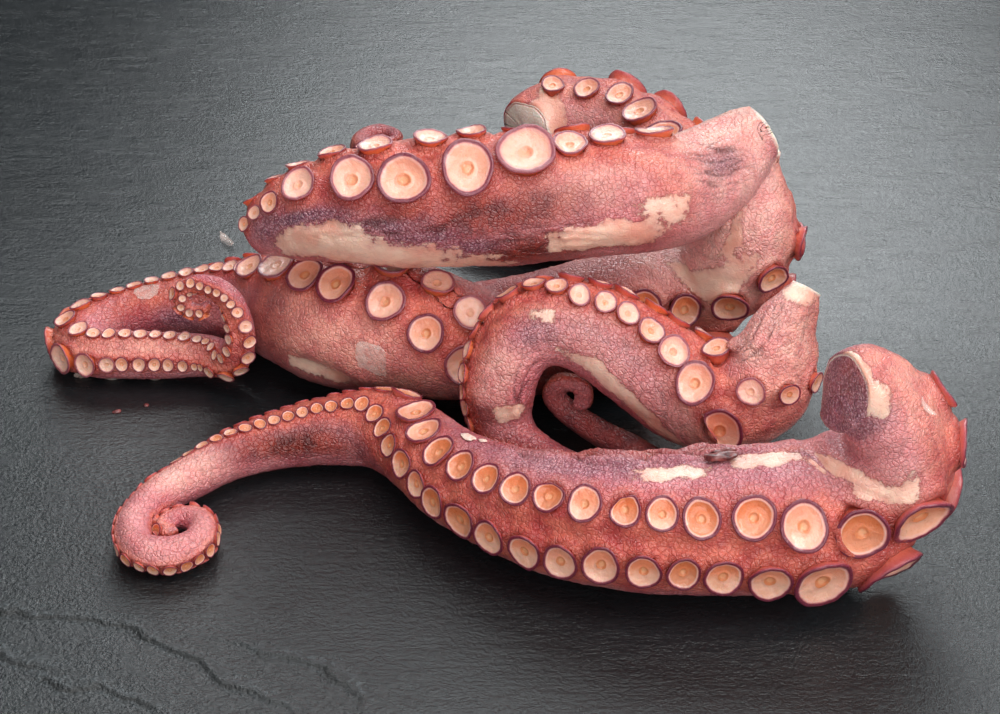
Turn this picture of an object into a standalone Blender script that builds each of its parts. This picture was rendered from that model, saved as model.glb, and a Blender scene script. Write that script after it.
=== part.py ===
"""Cooked octopus: cut arms heaped on a rectangular slate serving board.

Lengths in the tables are millimetres. The origin is the middle of the board's underside, +Z is up,
+X runs along the board's long side and -Y is the front. Each arm is one solid: a tapering tube swept
along a smooth route, with the larger suckers standing on it as shallow cups in two staggered rows.
"""
import math

import bmesh
import bpy
from mathutils import Vector

MM = 0.001

# ---- board ----
BOARD_LENGTH = 420.0
BOARD_DEPTH = 400.0
BOARD_THICKNESS = 6.0
BOARD_SIDE_POINTS = 13        # points along each side of the hand-cut outline
BOARD_HOLLOW = 1.8            # how far each side is cut in at its middle
BOARD_WANDER = 1.1            # how far the cut strays either way from that line
# Broken edge, bottom to top: height as a share of the thickness, and how far it is set back.
BOARD_EDGE = ((0.0, 2.2), (0.35, 0.5), (1.0, 0.0))

# ---- arms ----
ARM_SIDES = 10                # sides of an arm's cross section
LONG_STEP = 12.6              # route points farther apart than this get a cross section between
SLOPE_REACH = 0.02            # how far to each side the route's direction is read, in route steps
TIP_SIZE = 0.25               # smallest half width at a tip
# Both ends close in over two cross sections: how far in they stand, in route steps, and their
# size as a share of the arm's.
END_SECTIONS = ((0.0, 0.6), (0.12, 0.92))

# ---- suckers ----
SUCKER_SIDES = 7
MARCH = 0.02                  # stride of the walk along an arm's route that spaces its suckers
LAST_CUP = 0.5                # route steps before the tip where the cups end
CUP_GAP = 0.3                 # clear space between neighbouring cups
SUCKER_RATIO = 0.475          # cup radius as a share of the pitch along its row
ROW_ANGLE = 0.44              # angle of each row from the middle of the oral side, radians
SMALLEST_CUP = 2.9            # cups smaller than this radius are left to the finish
CUP_HEIGHT = 0.42             # cup height, share of the cup radius
CUP_LIP = 0.30                # height of the outer lip, share of the cup radius
CUP_DISH = 0.14               # depth of the dish, share of the cup radius
CUP_MOUTH = 0.70              # radius of the dished mouth, share of the cup radius
CUP_FOOT = 0.72               # radius of the stalk, share of the cup radius
CUP_ROOT = 0.75               # how deep the stalk is set into the arm, share of the cup radius

# Each route row: x, y, height over the board, half width, flatness, and the way the suckers face.
FRONT_ARM = (
    (72.8, -133, 52.0, 7.8, 1.28, (0.5, -0.2, 0.8)),
    (79, -130, 51.0, 10.2, 0.9, (0.6, -0.2, 0.75)),
    (83, -129, 46.0, 12.4, 0.82, (0.8, -0.25, 0.6)),
    (86.5, -128, 39.5, 14.2, 0.8, (0.95, -0.35, 0.3)),
    (87, -127, 32.0, 15.4, 0.84, (0.95, -0.5, 0.05)),
    (81, -127, 24.0, 16.0, 0.9, (0.6, -0.8, 0.1)),
    (74, -128, 18.8, 16.6, 1.0, (0.3, -1.0, 0.2)),
    (64, -130, 17.4, 16.8, 1.0, (0.1, -1.0, 0.2)),
    (53, -131, 17.0, 16.3, 1.0, (0.0, -1.0, 0.22)),
    (31, -131, 15.8, 15.0, 1.0, (0.0, -1.0, 0.24)),
    (13, -125, 14.2, 13.4, 1.0, (-0.2, -1.0, 0.22)),
    (0, -116, 12.8, 12.0, 1.0, (-0.5, -0.9, 0.26)),
    (-12, -104, 11.4, 10.8, 1.0, (-0.7, -0.7, 0.35)),
    (-21, -91, 10.6, 10.0, 1.0, (-0.8, -0.4, 0.6)),
    (-30, -84, 10.0, 9.4, 1.0, (-0.3, -0.2, 1.0)),
    (-41, -83, 8.8, 8.2, 1.0, (0.0, 0.1, 1.0)),
    (-53, -85, 7.5, 6.9, 1.0, (0.0, 0.2, 1.0)),
    (-64, -90, 6.5, 5.8, 1.0, (-0.2, 0.5, 0.9)),
    (-73, -98, 5.6, 5.0, 1.0, (-0.5, 0.8, 0.5)),
    (-81, -107, 5.0, 4.4, 1.0, (-0.8, 0.5, 0.0)),
    (-84.3, -116, 4.7, 4.1, 1.0, (-1.0, 0.1, -0.3)),
    (-82, -124, 4.6, 4.1, 1.0, (-0.7, -0.5, -0.6)),
    (-75, -126.4, 4.5, 4.1, 1.0, (0.1, -0.7, -0.7)),
    (-69, -122, 4.3, 3.8, 1.0, (0.9, -0.3, -0.4)),
    (-68.6, -115, 4.2, 3.3, 1.0, (0.8, 0.6, -0.1)),
    (-72.2, -112, 4.1, 2.8, 1.0, (-0.1, 1.0, 0.0)),
    (-76.2, -112.8, 4.0, 2.2, 1.0, (-0.8, 0.6, 0.0)),
    (-78.1, -115.6, 4.0, 1.7, 1.0, (-1.0, -0.2, 0.0)),
    (-76.3, -117.9, 4.0, 1.3, 1.0, (-0.2, -1.0, 0.0)),
    (-74.2, -116.4, 4.0, 0.9, 1.0, (1.0, -0.2, 0.0)),
)
LEFT_ARM = (
    (38, -48.5, 12.2, 9.6, 1.0, (0.0, -0.2, 1.0)),
    (26, -50, 13.0, 11.0, 1.0, (0.0, -0.3, 1.0)),
    (12, -52, 13.8, 12.2, 1.0, (0.0, -0.5, 0.8)),
    (-2, -53.5, 15.0, 13.4, 1.0, (0.0, -0.75, 0.6)),
    (-12, -53, 16.4, 15.4, 1.0, (0.0, -0.75, 0.66)),
    (-24, -49, 17.3, 16.8, 1.0, (0.0, -0.45, 0.9)),
    (-40, -46, 16.8, 16.2, 1.0, (0.0, -0.2, 1.0)),
    (-52, -37, 15.3, 14.7, 1.0, (0.0, 0.0, 1.0)),
    (-64, -27, 12.2, 11.6, 1.0, (0.0, 0.3, 1.0)),
    (-79, -24, 9.6, 8.8, 1.0, (-0.1, 0.6, 0.8)),
    (-93, -26, 8.0, 7.4, 1.0, (-0.3, 0.7, 0.7)),
    (-104, -31, 7.3, 6.7, 1.0, (-0.7, 0.4, 0.6)),
    (-108, -38, 7.0, 6.4, 1.0, (-1.0, -0.3, 0.5)),
    (-104, -44, 6.9, 6.2, 1.0, (-0.3, -0.7, 0.75)),
    (-95, -45, 6.9, 6.1, 1.0, (0.0, -0.63, 0.78)),
    (-84, -45, 6.8, 5.9, 1.0, (0.0, -0.63, 0.78)),
    (-75, -46, 7.2, 5.4, 1.0, (0.1, -0.75, 0.7)),
    (-68.5, -50, 8.8, 4.6, 1.0, (0.0, -1.0, 0.4)),
    (-65.5, -52, 13.5, 4.0, 1.0, (0.0, -1.0, 0.3)),
    (-65, -51, 19.5, 3.5, 1.0, (-0.2, -1.0, 0.1)),
    (-67.5, -48, 25.0, 3.1, 1.0, (-0.4, -0.9, -0.2)),
    (-72, -46, 27.8, 2.7, 1.0, (0.0, -0.9, -0.5)),
    (-77.5, -45, 27.4, 2.3, 1.0, (-0.2, -1.0, 0.0)),
    (-80, -46, 23.6, 2.0, 1.0, (-0.6, -0.8, -0.3)),
    (-76, -47, 21.2, 1.7, 1.0, (0.0, -0.8, -0.6)),
    (-72.6, -47, 23.4, 1.2, 1.0, (0.6, -0.8, 0.0)),
)
TOP_ARM = (
    (67, -22, 59.5, 7.4, 0.9, (0.4, 0.2, 0.9)),
    (63, -23, 57.4, 9.4, 0.9, (0.4, 0.2, 0.9)),
    (58, -26, 54.6, 11.2, 0.9, (0.3, 0.1, 1.0)),
    (52, -31, 52.0, 12.6, 0.95, (0.2, 0.1, 1.0)),
    (45, -37, 50.6, 13.4, 1.0, (0.1, 0.1, 1.0)),
    (36, -42, 51.6, 14.2, 1.0, (0.0, 0.1, 1.0)),
    (22, -44, 52.2, 15.0, 1.0, (0.0, 0.1, 1.0)),
    (5, -46, 52.2, 15.8, 1.0, (0.0, 0.0, 1.0)),
    (-10, -47, 52.3, 16.0, 1.0, (0.0, -0.1, 1.0)),
    (-24, -48, 52.0, 15.4, 1.0, (0.0, -0.15, 1.0)),
    (-39, -47, 50.0, 13.4, 1.0, (0.0, -0.1, 1.0)),
    (-52, -44, 45.6, 10.2, 1.0, (-0.2, -0.1, 1.0)),
    (-61, -42, 39.8, 5.2, 1.0, (-0.5, -0.1, 0.8)),
)
RIGHT_ARM = (
    (66, -22, 56.4, 6.4, 0.9, (1.0, 0.0, 0.2)),
    (63.5, -22, 51.0, 8.6, 0.95, (1.0, 0.0, 0.1)),
    (62.5, -24, 43.0, 11.4, 1.0, (1.0, -0.1, 0.1)),
    (63, -26, 34.0, 13.0, 1.0, (1.0, -0.3, -0.1)),
    (59, -25, 21.5, 13.4, 1.0, (0.6, -0.6, -0.4)),
    (50, -23, 14.0, 13.2, 1.0, (0.1, -0.8, -0.25)),
    (34, -25, 13.2, 12.4, 1.0, (0.0, -0.9, -0.1)),
    (20, -26, 11.6, 10.8, 1.0, (0.0, -1.0, 0.2)),
    (7, -24, 9.2, 8.4, 1.0, (0.0, -1.0, 0.2)),
    (-6, -21, 7.2, 6.4, 1.0, (0.0, -1.0, 0.2)),
    (-18, -18, 5.4, 4.6, 1.0, (0.0, -1.0, 0.2)),
    (-28, -15, 4.0, 3.0, 1.0, (0.0, -1.0, 0.2)),
    (-35, -13, 3.0, 1.4, 1.0, (0.0, -1.0, 0.2)),
)
MIDDLE_ARM = (
    (72, -76, 44.4, 4.8, 0.7, (0.9, -0.5, 0.2)),
    (70, -78, 41.0, 7.8, 0.65, (0.8, -0.6, 0.1)),
    (67, -80, 36.0, 10.6, 0.68, (0.8, -0.6, 0.1)),
    (65, -82, 30.0, 12.6, 0.75, (0.7, -0.7, 0.1)),
    (61, -85, 23.0, 13.4, 0.8, (0.4, -0.9, 0.2)),
    (53, -85, 19.2, 13.4, 0.9, (0.2, -0.8, 0.5)),
    (44, -82, 20.5, 12.6, 1.0, (0.3, -0.5, 0.8)),
    (34, -79, 26.0, 11.8, 1.0, (0.4, -0.25, 0.9)),
    (25, -76, 31.0, 11.0, 1.0, (0.4, -0.1, 1.0)),
    (15, -75, 34.0, 10.2, 1.0, (0.0, -0.05, 1.0)),
    (6, -76, 32.0, 9.6, 1.0, (-0.6, -0.05, 0.8)),
    (1, -79, 24.5, 9.0, 1.0, (-1.0, -0.1, 0.3)),
    (0, -80, 16.0, 8.2, 1.0, (-1.0, -0.1, 0.0)),
    (2, -83, 8.6, 6.6, 1.0, (-1.0, -0.2, -0.2)),
    (10, -90, 5.8, 5.2, 1.0, (-0.6, -0.6, 0.2)),
    (21, -96, 5.0, 4.4, 1.0, (0.0, -0.8, 0.4)),
    (31, -97, 4.6, 4.0, 1.0, (0.3, -0.8, 0.4)),
    (37, -92, 4.4, 3.8, 1.0, (0.9, -0.2, 0.4)),
    (33, -86, 4.6, 3.6, 1.0, (0.5, 0.7, 0.4)),
    (25, -80.5, 6.2, 3.4, 1.0, (0.3, 0.8, 0.5)),
    (17, -76, 9.5, 3.1, 1.0, (0.0, 0.9, 0.4)),
    (13, -74.5, 14.0, 2.8, 1.0, (-0.8, 0.4, 0.4)),
    (15, -75.5, 18.2, 2.4, 1.0, (-0.2, 0.0, 1.0)),
    (20, -77, 17.6, 2.1, 1.0, (1.0, 0.0, 0.3)),
    (20.5, -77.5, 13.6, 1.8, 1.0, (0.8, 0.0, -0.6)),
    (17.6, -77.5, 13.4, 1.3, 1.0, (-0.6, 0.0, -0.6)),
)
BACK_ARM = (
    (8, 74, 11.5, 9.4, 0.9, (0.0, 0.2, 1.0)),
    (14, 80, 12.0, 11.0, 1.0, (0.0, 0.2, 1.0)),
    (25, 81, 12.4, 11.8, 1.0, (0.1, 0.1, 1.0)),
    (37, 74, 12.2, 11.6, 1.0, (0.2, 0.0, 1.0)),
    (47, 61, 11.6, 11.0, 1.0, (0.5, -0.2, 0.9)),
    (51, 45, 10.8, 10.2, 1.0, (0.7, -0.4, 0.6)),
    (48, 29, 10.0, 9.4, 1.0, (0.8, -0.5, 0.4)),
    (39, 19, 8.8, 8.2, 1.0, (0.3, -0.8, 0.5)),
    (20, 16, 7.6, 7.0, 1.0, (-0.2, -0.8, 0.6)),
    (-4, 28, 6.4, 5.8, 1.0, (-0.4, -0.5, 0.8)),
    (-24, 49, 5.2, 4.6, 1.0, (-0.6, -0.3, 0.8)),
    (-37, 67, 4.4, 3.7, 1.0, (-0.8, 0.0, 0.6)),
    (-42, 79, 4.2, 3.1, 1.0, (-1.0, 0.3, 0.3)),
    (-37, 86, 4.6, 2.6, 1.0, (0.0, 1.0, 0.3)),
    (-31, 82, 5.0, 2.0, 1.0, (1.0, 0.0, 0.3)),
    (-34, 77, 5.0, 1.4, 1.0, (0.0, -1.0, 0.0)),
)
# Sucker rows: how far along the arm they start, then the pitch as a share of the half width
# near the base and farther out, and the length over which it changes from one to the other.
FRONT_CUPS = (20.0, 0.80, 0.55, 110.0)
LEFT_CUPS = (47.0, 0.76, 0.62, 101.0)
TOP_CUPS = (32.0, 0.92, 0.84, 90.0)
RIGHT_CUPS = (30.0, 0.80, 0.70, 80.0)
MIDDLE_CUPS = (26.0, 0.70, 0.58, 60.0)
BACK_CUPS = (5.0, 0.86, 0.80, 60.0)

# ---- colours, linear ----
SKIN = (0.46, 0.13, 0.11)
SLATE = (0.045, 0.052, 0.056)


def clear_scene():
    for obj in list(bpy.data.objects):
        bpy.data.objects.remove(obj, do_unlink=True)


def make_material(name, colour, roughness):
    material = bpy.data.materials.new(name)
    material.use_nodes = True
    shader = material.node_tree.nodes["Principled BSDF"]
    shader.inputs["Base Color"].default_value = (*colour, 1.0)
    shader.inputs["Roughness"].default_value = roughness
    shader.inputs["Metallic"].default_value = 0.0
    return material


def add_object(name, bm, material=None):
    bmesh.ops.recalc_face_normals(bm, faces=bm.faces)
    mesh = bpy.data.meshes.new(name)
    bm.to_mesh(mesh)
    bm.free()
    obj = bpy.data.objects.new(name, mesh)
    bpy.context.collection.objects.link(obj)
    if material:
        mesh.materials.append(material)
        mesh.shade_smooth()
        mesh.set_sharp_from_angle(angle=math.radians(50))
    return obj


def smooth_step(before, low, high, after, t):
    """Point at t between low and high on a Catmull-Rom curve, for numbers or vectors."""
    bend = 2 * before - 5 * low + 4 * high - after
    swing = -before + 3 * low - 3 * high + after
    return 0.5 * (2 * low + (high - before) * t + bend * t * t + swing * t * t * t)


class Route:
    """A smooth arm route: centre, half width, flatness and sucker direction at any position."""

    def __init__(self, rows):
        self.centres = [Vector((x, y, BOARD_THICKNESS + z)) for x, y, z, _, _, _ in rows]
        self.widths = [row[3] for row in rows]
        self.flats = [row[4] for row in rows]
        self.facings = [Vector(row[5]).normalized() for row in rows]
        self.last = len(rows) - 1

    def read(self, values, u):
        step = min(int(u), self.last - 1)
        before = values[max(step - 1, 0)]
        after = values[min(step + 2, self.last)]
        return smooth_step(before, values[step], values[step + 1], after, u - step)

    def frame(self, u):
        """Centre, oral direction, side direction, half width and half depth at u."""
        ahead = self.read(self.centres, min(u + SLOPE_REACH, self.last))
        behind = self.read(self.centres, max(u - SLOPE_REACH, 0.0))
        along = (ahead - behind).normalized()
        oral = self.read(self.facings, u)
        oral = (oral - along * oral.dot(along)).normalized()
        width = max(self.read(self.widths, u), TIP_SIZE)
        deep = width * self.read(self.flats, u)
        return self.read(self.centres, u), oral, along.cross(oral), width, deep


def next_ring(ring, grown):
    """The corners and edges of a freshly extruded ring, in the order of the ring it was drawn from."""
    fresh = {item for item in grown if isinstance(item, bmesh.types.BMVert)}
    ordered = []
    for vert in ring:
        partners = [edge.other_vert(vert) for edge in vert.link_edges]
        ordered.append([other for other in partners if other in fresh][0])
    edges = [item for item in grown if isinstance(item, bmesh.types.BMEdge)
             and all(vert in fresh for vert in item.verts)]
    return ordered, edges


def arm_tube(route):
    """Tapering tube with rounded ends, swept along the route."""
    bm = bmesh.new()
    sections = list(END_SECTIONS)
    for step in range(route.last):
        if step:
            sections.append((step, 1.0))
        if (route.centres[step + 1] - route.centres[step]).length > LONG_STEP:
            sections.append((step + 0.5, 1.0))
    sections += [(route.last - inset, share) for inset, share in reversed(END_SECTIONS)]
    ring = bmesh.ops.create_circle(bm, segments=ARM_SIDES, radius=1.0)["verts"]
    edges = list(bm.edges)
    for index, (u, share) in enumerate(sections):
        if index:
            grown = bmesh.ops.extrude_edge_only(bm, edges=edges)["geom"]
            ring, edges = next_ring(ring, grown)
        centre, oral, side, width, deep = route.frame(u)
        for place, vert in enumerate(ring):
            turn = 2 * math.pi * place / ARM_SIDES
            vert.co = centre + (oral * deep * math.cos(turn) + side * width * math.sin(turn)) * share
    bmesh.ops.holes_fill(bm, edges=[edge for edge in bm.edges if edge.is_boundary])
    return bm


def cup_places(route, start, near_share, far_share, fade):
    """Sucker centres, outward directions and radii in two rows, the second half a pitch on."""
    places = []
    for turn, delay in ((-ROW_ANGLE, 0.0), (ROW_ANGLE, 0.5)):
        travelled = 0.0
        due = start
        before = route.centres[0]
        for stride in range(1, int((route.last - LAST_CUP) / MARCH) + 1):
            centre, oral, side, width, deep = route.frame(stride * MARCH)
            travelled += (centre - before).length
            before = centre
            if travelled < due:
                continue
            blend = min(travelled / fade, 1.0)
            pitch = width * (near_share + (far_share - near_share) * blend)
            if delay:
                due += pitch * delay
                delay = 0.0
                continue
            due += pitch
            spot = centre + oral * deep * math.cos(turn) + side * width * math.sin(turn)
            out = (oral * math.cos(turn) / deep + side * math.sin(turn) / width).normalized()
            rooms = [(spot - other).length - taken - CUP_GAP for other, _, taken in places]
            radius = min([pitch * SUCKER_RATIO] + rooms)
            if radius >= SMALLEST_CUP:
                places.append((spot, out, radius))
    return places


def cup_cluster(places):
    """All cups of an arm in one mesh: each is a profile turned about its own axis."""
    bm = bmesh.new()
    for spot, out, radius in places:
        across = out.orthogonal().normalized()
        profile = ((0.0, CUP_HEIGHT - CUP_DISH), (CUP_MOUTH, CUP_HEIGHT), (1.0, CUP_LIP),
                   (CUP_FOOT, -CUP_ROOT), (0.0, -CUP_ROOT))
        verts = [bm.verts.new(spot + (across * far + out * up) * radius) for far, up in profile]
        edges = [bm.edges.new(pair) for pair in zip(verts, verts[1:])]
        bmesh.ops.spin(bm, geom=verts + edges, cent=spot, axis=out, angle=2 * math.pi,
                       steps=SUCKER_SIDES, use_merge=True)
    bmesh.ops.remove_doubles(bm, verts=bm.verts, dist=0.001)
    return bm


def to_metres(bm):
    bmesh.ops.triangulate(bm, faces=bm.faces)
    bmesh.ops.scale(bm, vec=(MM, MM, MM), verts=bm.verts)
    return bm


def join_on(obj, name, bm):
    """Unite another closed shape with the object; the helper shape itself stays hidden."""
    helper = add_object(name, to_metres(bm))
    helper.hide_render = True
    helper.display_type = "WIRE"
    union = obj.modifiers.new(name, "BOOLEAN")
    union.operation = "UNION"
    union.solver = "EXACT"
    union.use_self = True
    union.object = helper


def add_arm(name, rows, cups, material):
    route = Route(rows)
    arm = add_object(name, to_metres(arm_tube(route)), material)
    join_on(arm, name + "_cups", cup_cluster(cup_places(route, *cups)))
    return arm


def add_upper_pair(material):
    """Two arms still joined by the web at their base: one runs over the heap, one folds under it."""
    pair = add_arm("upper_pair", RIGHT_ARM, RIGHT_CUPS, material)
    top = Route(TOP_ARM)
    join_on(pair, "top_tube", arm_tube(top))
    join_on(pair, "top_cups", cup_cluster(cup_places(top, *TOP_CUPS)))
    return pair


def board_outline():
    """Corner points of the hand-cut board, fitted exactly to its length and depth."""
    corners = [(-1, -1), (1, -1), (1, 1), (-1, 1)]
    points = []
    for side, (cx, cy) in enumerate(corners):
        nx, ny = corners[(side + 1) % 4]
        for i in range(BOARD_SIDE_POINTS):
            t = i / BOARD_SIDE_POINTS
            away = math.sin(math.pi * t)
            stray = math.sin(7.3 * t + 2.1 * side) + 0.6 * math.sin(19.0 * t + side)
            inset = away * (BOARD_HOLLOW + away * BOARD_WANDER * stray)
            x = BOARD_LENGTH / 2 * (cx + (nx - cx) * t)
            y = BOARD_DEPTH / 2 * (cy + (ny - cy) * t)
            inward = Vector((cy - ny, nx - cx, 0)).normalized()
            points.append(Vector((x, y, 0)) + inward * inset)
    return points


def add_board(material):
    """Riven slab: flat underside, broken lower arris, sharp upper edge."""
    bm = bmesh.new()
    outline = board_outline()
    ring = [bm.verts.new(point) for point in outline]
    edges = [bm.edges.new(pair) for pair in zip(ring, ring[1:] + ring[:1])]
    for level, inset in BOARD_EDGE:
        if level:
            grown = bmesh.ops.extrude_edge_only(bm, edges=edges)["geom"]
            ring, edges = next_ring(ring, grown)
        shrink = 1.0 - inset / (BOARD_DEPTH / 2)
        for vert, point in zip(ring, outline):
            vert.co = Vector((point.x * shrink, point.y * shrink, level * BOARD_THICKNESS))
    bmesh.ops.holes_fill(bm, edges=[edge for edge in bm.edges if edge.is_boundary])
    return add_object("slate_board", to_metres(bm), material)


clear_scene()
skin = make_material("cooked_octopus_skin", SKIN, 0.3)
slate = make_material("riven_slate", SLATE, 0.45)
add_board(slate)
add_arm("front_arm", FRONT_ARM, FRONT_CUPS, skin)
add_arm("left_arm", LEFT_ARM, LEFT_CUPS, skin)
add_upper_pair(skin)
add_arm("middle_arm", MIDDLE_ARM, MIDDLE_CUPS, skin)
add_arm("back_arm", BACK_ARM, BACK_CUPS, skin)
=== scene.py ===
"""Looks of a heap of cooked octopus arms on a riven slate board.

Lengths in the tables are millimetres in the part's own frame: the origin is the middle of the
board's underside, +Z is up and -Y is the front. Every mesh is turned to metres as it is finished.
"""
import math
import random

import bmesh
import bpy
import numpy as np
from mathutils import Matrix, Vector, noise


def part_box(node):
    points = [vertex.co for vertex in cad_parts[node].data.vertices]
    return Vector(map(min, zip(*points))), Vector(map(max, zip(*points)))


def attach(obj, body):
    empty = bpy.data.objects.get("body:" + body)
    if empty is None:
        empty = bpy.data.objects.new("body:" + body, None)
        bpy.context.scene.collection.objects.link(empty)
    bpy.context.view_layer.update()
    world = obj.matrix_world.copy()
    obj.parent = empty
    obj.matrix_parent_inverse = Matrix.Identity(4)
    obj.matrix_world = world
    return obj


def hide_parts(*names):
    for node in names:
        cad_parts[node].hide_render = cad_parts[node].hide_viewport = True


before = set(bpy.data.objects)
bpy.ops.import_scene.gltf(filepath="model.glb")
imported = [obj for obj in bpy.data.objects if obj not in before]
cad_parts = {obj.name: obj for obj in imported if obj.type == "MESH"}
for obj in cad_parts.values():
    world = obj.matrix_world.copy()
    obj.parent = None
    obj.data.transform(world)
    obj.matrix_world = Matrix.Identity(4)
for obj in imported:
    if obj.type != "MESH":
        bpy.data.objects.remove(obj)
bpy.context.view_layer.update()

# ---- Slate board ----
# A slab split by hand from a block of slate and chipped to size. The upper face keeps its cleft,
# streaky and in places stepped skin; it is wiped with oil, which leaves it dark and half glossy.
MM = 0.001
board_low, board_high = (np.array(corner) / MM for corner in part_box("slate_board"))
BOARD_TOP = board_high[2]
BOARD_DEPTH_OF_CLEFT = 0.5      # the face is riven this far down from the top, mm
# Where the rows and columns of the face's mesh lie: closer together over the stepped corner.
COLUMNS = ((0.0, 0.08, 0.55, 0.9, 1.0), (-1.0, -0.6, -0.07, 0.62, 1.0))
ROWS = ((0.0, 0.06, 0.36, 0.86, 1.0), (-1.0, -0.91, -0.68, 0.55, 1.0))
# Steps where a leaf of slate has split away: points across the board and how far the step drops.
CLEFT_STEPS = (
    (((-126, -143), (-111, -141), (-93, -143), (-81, -147), (-67, -158), (-53, -167), (-38, -179)), 0.40),
    (((-128, -150), (-108, -155), (-99, -160), (-88, -163)), 0.28),
    (((-52, -155), (-44, -158), (-36, -162), (-29, -171), (-25, -182)), 0.34),
    (((-97, -165), (-83, -168), (-74, -173), (-66, -183)), 0.30),
)


def ripple(points, size, seed=0.0):
    """Smooth noise from about -1 to 1 at points in millimetres; size is one or three lengths."""
    scaled = (np.asarray(points) / size + seed).tolist()
    return np.array([noise.noise(point) for point in scaled])


def fade(values, start, end):
    """Smooth 0 to 1 as the values go from start to end."""
    t = np.clip((values - start) / (end - start), 0.0, 1.0)
    return t * t * (3 - 2 * t)


def beside_line(x, y, line):
    """Distance from the nearest stretch of a line of points, and on which side of it."""
    best = np.full(len(x), 1e9)
    side = np.ones(len(x))
    for (ax, ay), (bx, by) in zip(line, line[1:]):
        run = np.array((bx - ax, by - ay), float)
        t = np.clip(((x - ax) * run[0] + (y - ay) * run[1]) / (run @ run), 0, 1)
        dx, dy = x - ax - t * run[0], y - ay - t * run[1]
        away = np.hypot(dx, dy)
        nearer = away < best
        best = np.where(nearer, away, best)
        side = np.where(nearer, np.sign(run[0] * dy - run[1] * dx), side)
    return best, side


def cleft_face(x, y):
    """The riven face: its depth under the board's top in mm, its cracks and its chipped edges."""
    flat = np.stack((x, y, np.zeros(len(x))), axis=1)
    deep = 0.10 + 0.09 * ripple(flat, (70, 45, 1)) + 0.045 * ripple(flat, (22, 9, 1), 3.1)
    deep += 0.02 * ripple(flat, (6, 3, 1), 8.7)
    stray = 3.2 * ripple(flat, 9, 5.0) + 1.3 * ripple(flat, 3.2, 6.0)
    crack, chip = np.zeros(len(x)), np.zeros(len(x))
    for line, drop in CLEFT_STEPS:
        away, side = beside_line(x, y + stray, line)
        ends = fade(np.hypot(x - line[-1][0], y - line[-1][1]), 2, 16)
        below = np.where(side < 0, np.exp(-away / 9.0), 0.0) * fade(away, 0.0, 0.7)
        deep += drop * ends * below
        deep -= 0.16 * ends * np.exp(-(away / 0.8) ** 2)
        signed = away * side
        wide = 1.0 + 0.5 * ripple(flat, 5.0, 2.0)
        crack = np.maximum(crack, ends * np.exp(-((signed + 0.6) / (0.7 * wide)) ** 2))
        chip = np.maximum(chip, ends * 0.8 * np.exp(-((signed + 1.8) / 0.45) ** 2))
        chip = np.maximum(chip, ends * 0.5 * np.exp(-((signed - 1.4) / (1.5 * wide)) ** 2))
    return np.clip(deep, 0.0, BOARD_DEPTH_OF_CLEFT), crack, chip


def hex_colour(code):
    """Linear RGBA of an sRGB hex colour."""
    shares = [int(code[i:i + 2], 16) / 255 for i in (1, 3, 5)]
    linear = [c / 12.92 if c <= 0.04045 else ((c + 0.055) / 1.055) ** 2.4 for c in shares]
    return (*linear, 1.0)


class Paint:
    """A material in the making; its methods add nodes, already set and linked."""

    def __init__(self, name):
        self.material = bpy.data.materials.new(name)
        self.material.use_nodes = True
        self.tree = self.material.node_tree
        self.shader = self.tree.nodes["Principled BSDF"]
        self.place = self.add("TexCoord").outputs["Object"]

    def add(self, kind, settings=None, **inputs):
        """Add a node; an input is named by its socket, or by "_" and its number."""
        node = self.tree.nodes.new("ShaderNode" + kind)
        for key, value in (settings or {}).items():
            setattr(node, key, value)
        for key, value in inputs.items():
            number = key[1:].isdigit()
            self.fill(node.inputs[int(key[1:]) if number else key.replace("_", " ")], value)
        return node

    def fill(self, socket, value):
        if isinstance(value, bpy.types.NodeSocket):
            self.tree.links.new(value, socket)
        else:
            socket.default_value = hex_colour(value) if isinstance(value, str) else value

    def set(self, name, value):
        self.fill(self.shader.inputs[name], value)

    def attribute(self, name):
        return self.add("Attribute", {"attribute_name": name}).outputs["Fac"]

    def noise(self, size, detail, roughness=0.6, space=None):
        """Smooth noise from 0 to 1 with features of this size in metres."""
        vector = space or self.place
        node = self.add("TexNoise", Vector=vector, Scale=1 / size, Detail=detail, Roughness=roughness)
        return node.outputs[0]

    def cells(self, size, feature):
        """Distance within cells of this size in metres."""
        node = self.add("TexVoronoi", {"feature": feature}, Vector=self.place, Scale=1 / size)
        return node.outputs["Distance"]

    def blend(self, factor, low, high, mode="MIX"):
        settings = {"data_type": "RGBA", "blend_type": mode}
        return self.add("Mix", settings, _0=factor, _6=low, _7=high).outputs[2]

    def level(self, value, low, high, to_low=0.0, to_high=1.0):
        """Smooth step of a value from low to high; low may be the greater."""
        return self.add("MapRange", {"interpolation_type": "SMOOTHSTEP"}, Value=value, From_Min=low,
                        From_Max=high, To_Min=to_low, To_Max=to_high).outputs[0]

    def maths(self, operation, *values):
        numbered = {"_" + str(index): value for index, value in enumerate(values)}
        return self.add("Math", {"operation": operation}, **numbered).outputs[0]

    def ramp(self, value, *stops):
        """Colours along a value, each a position and an sRGB hex colour."""
        node = self.add("ValToRGB", Fac=value)
        elements = node.color_ramp.elements
        while len(elements) < len(stops):
            elements.new(0.5)
        for element, (position, colour) in zip(elements, stops):
            element.position = position
            element.color = hex_colour(colour)
        return node.outputs["Color"]

    def bump(self, height, distance, strength, target="Normal", **under):
        """Bump a shader's normal; under may give the normal that this relief lies on."""
        normal = self.add("Bump", Strength=strength, Distance=distance, Height=height, **under).outputs[0]
        self.set(target, normal)
        return normal


def finished(name, bm, material):
    """Turn a bmesh in millimetres into a smooth-shaded object in metres."""
    bmesh.ops.scale(bm, vec=(MM, MM, MM), verts=bm.verts)
    mesh = bpy.data.meshes.new(name)
    bm.to_mesh(mesh)
    bm.free()
    mesh.materials.append(material)
    mesh.shade_smooth()
    piece = bpy.data.objects.new(name, mesh)
    bpy.context.collection.objects.link(piece)
    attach(piece, "root")
    return piece


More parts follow.
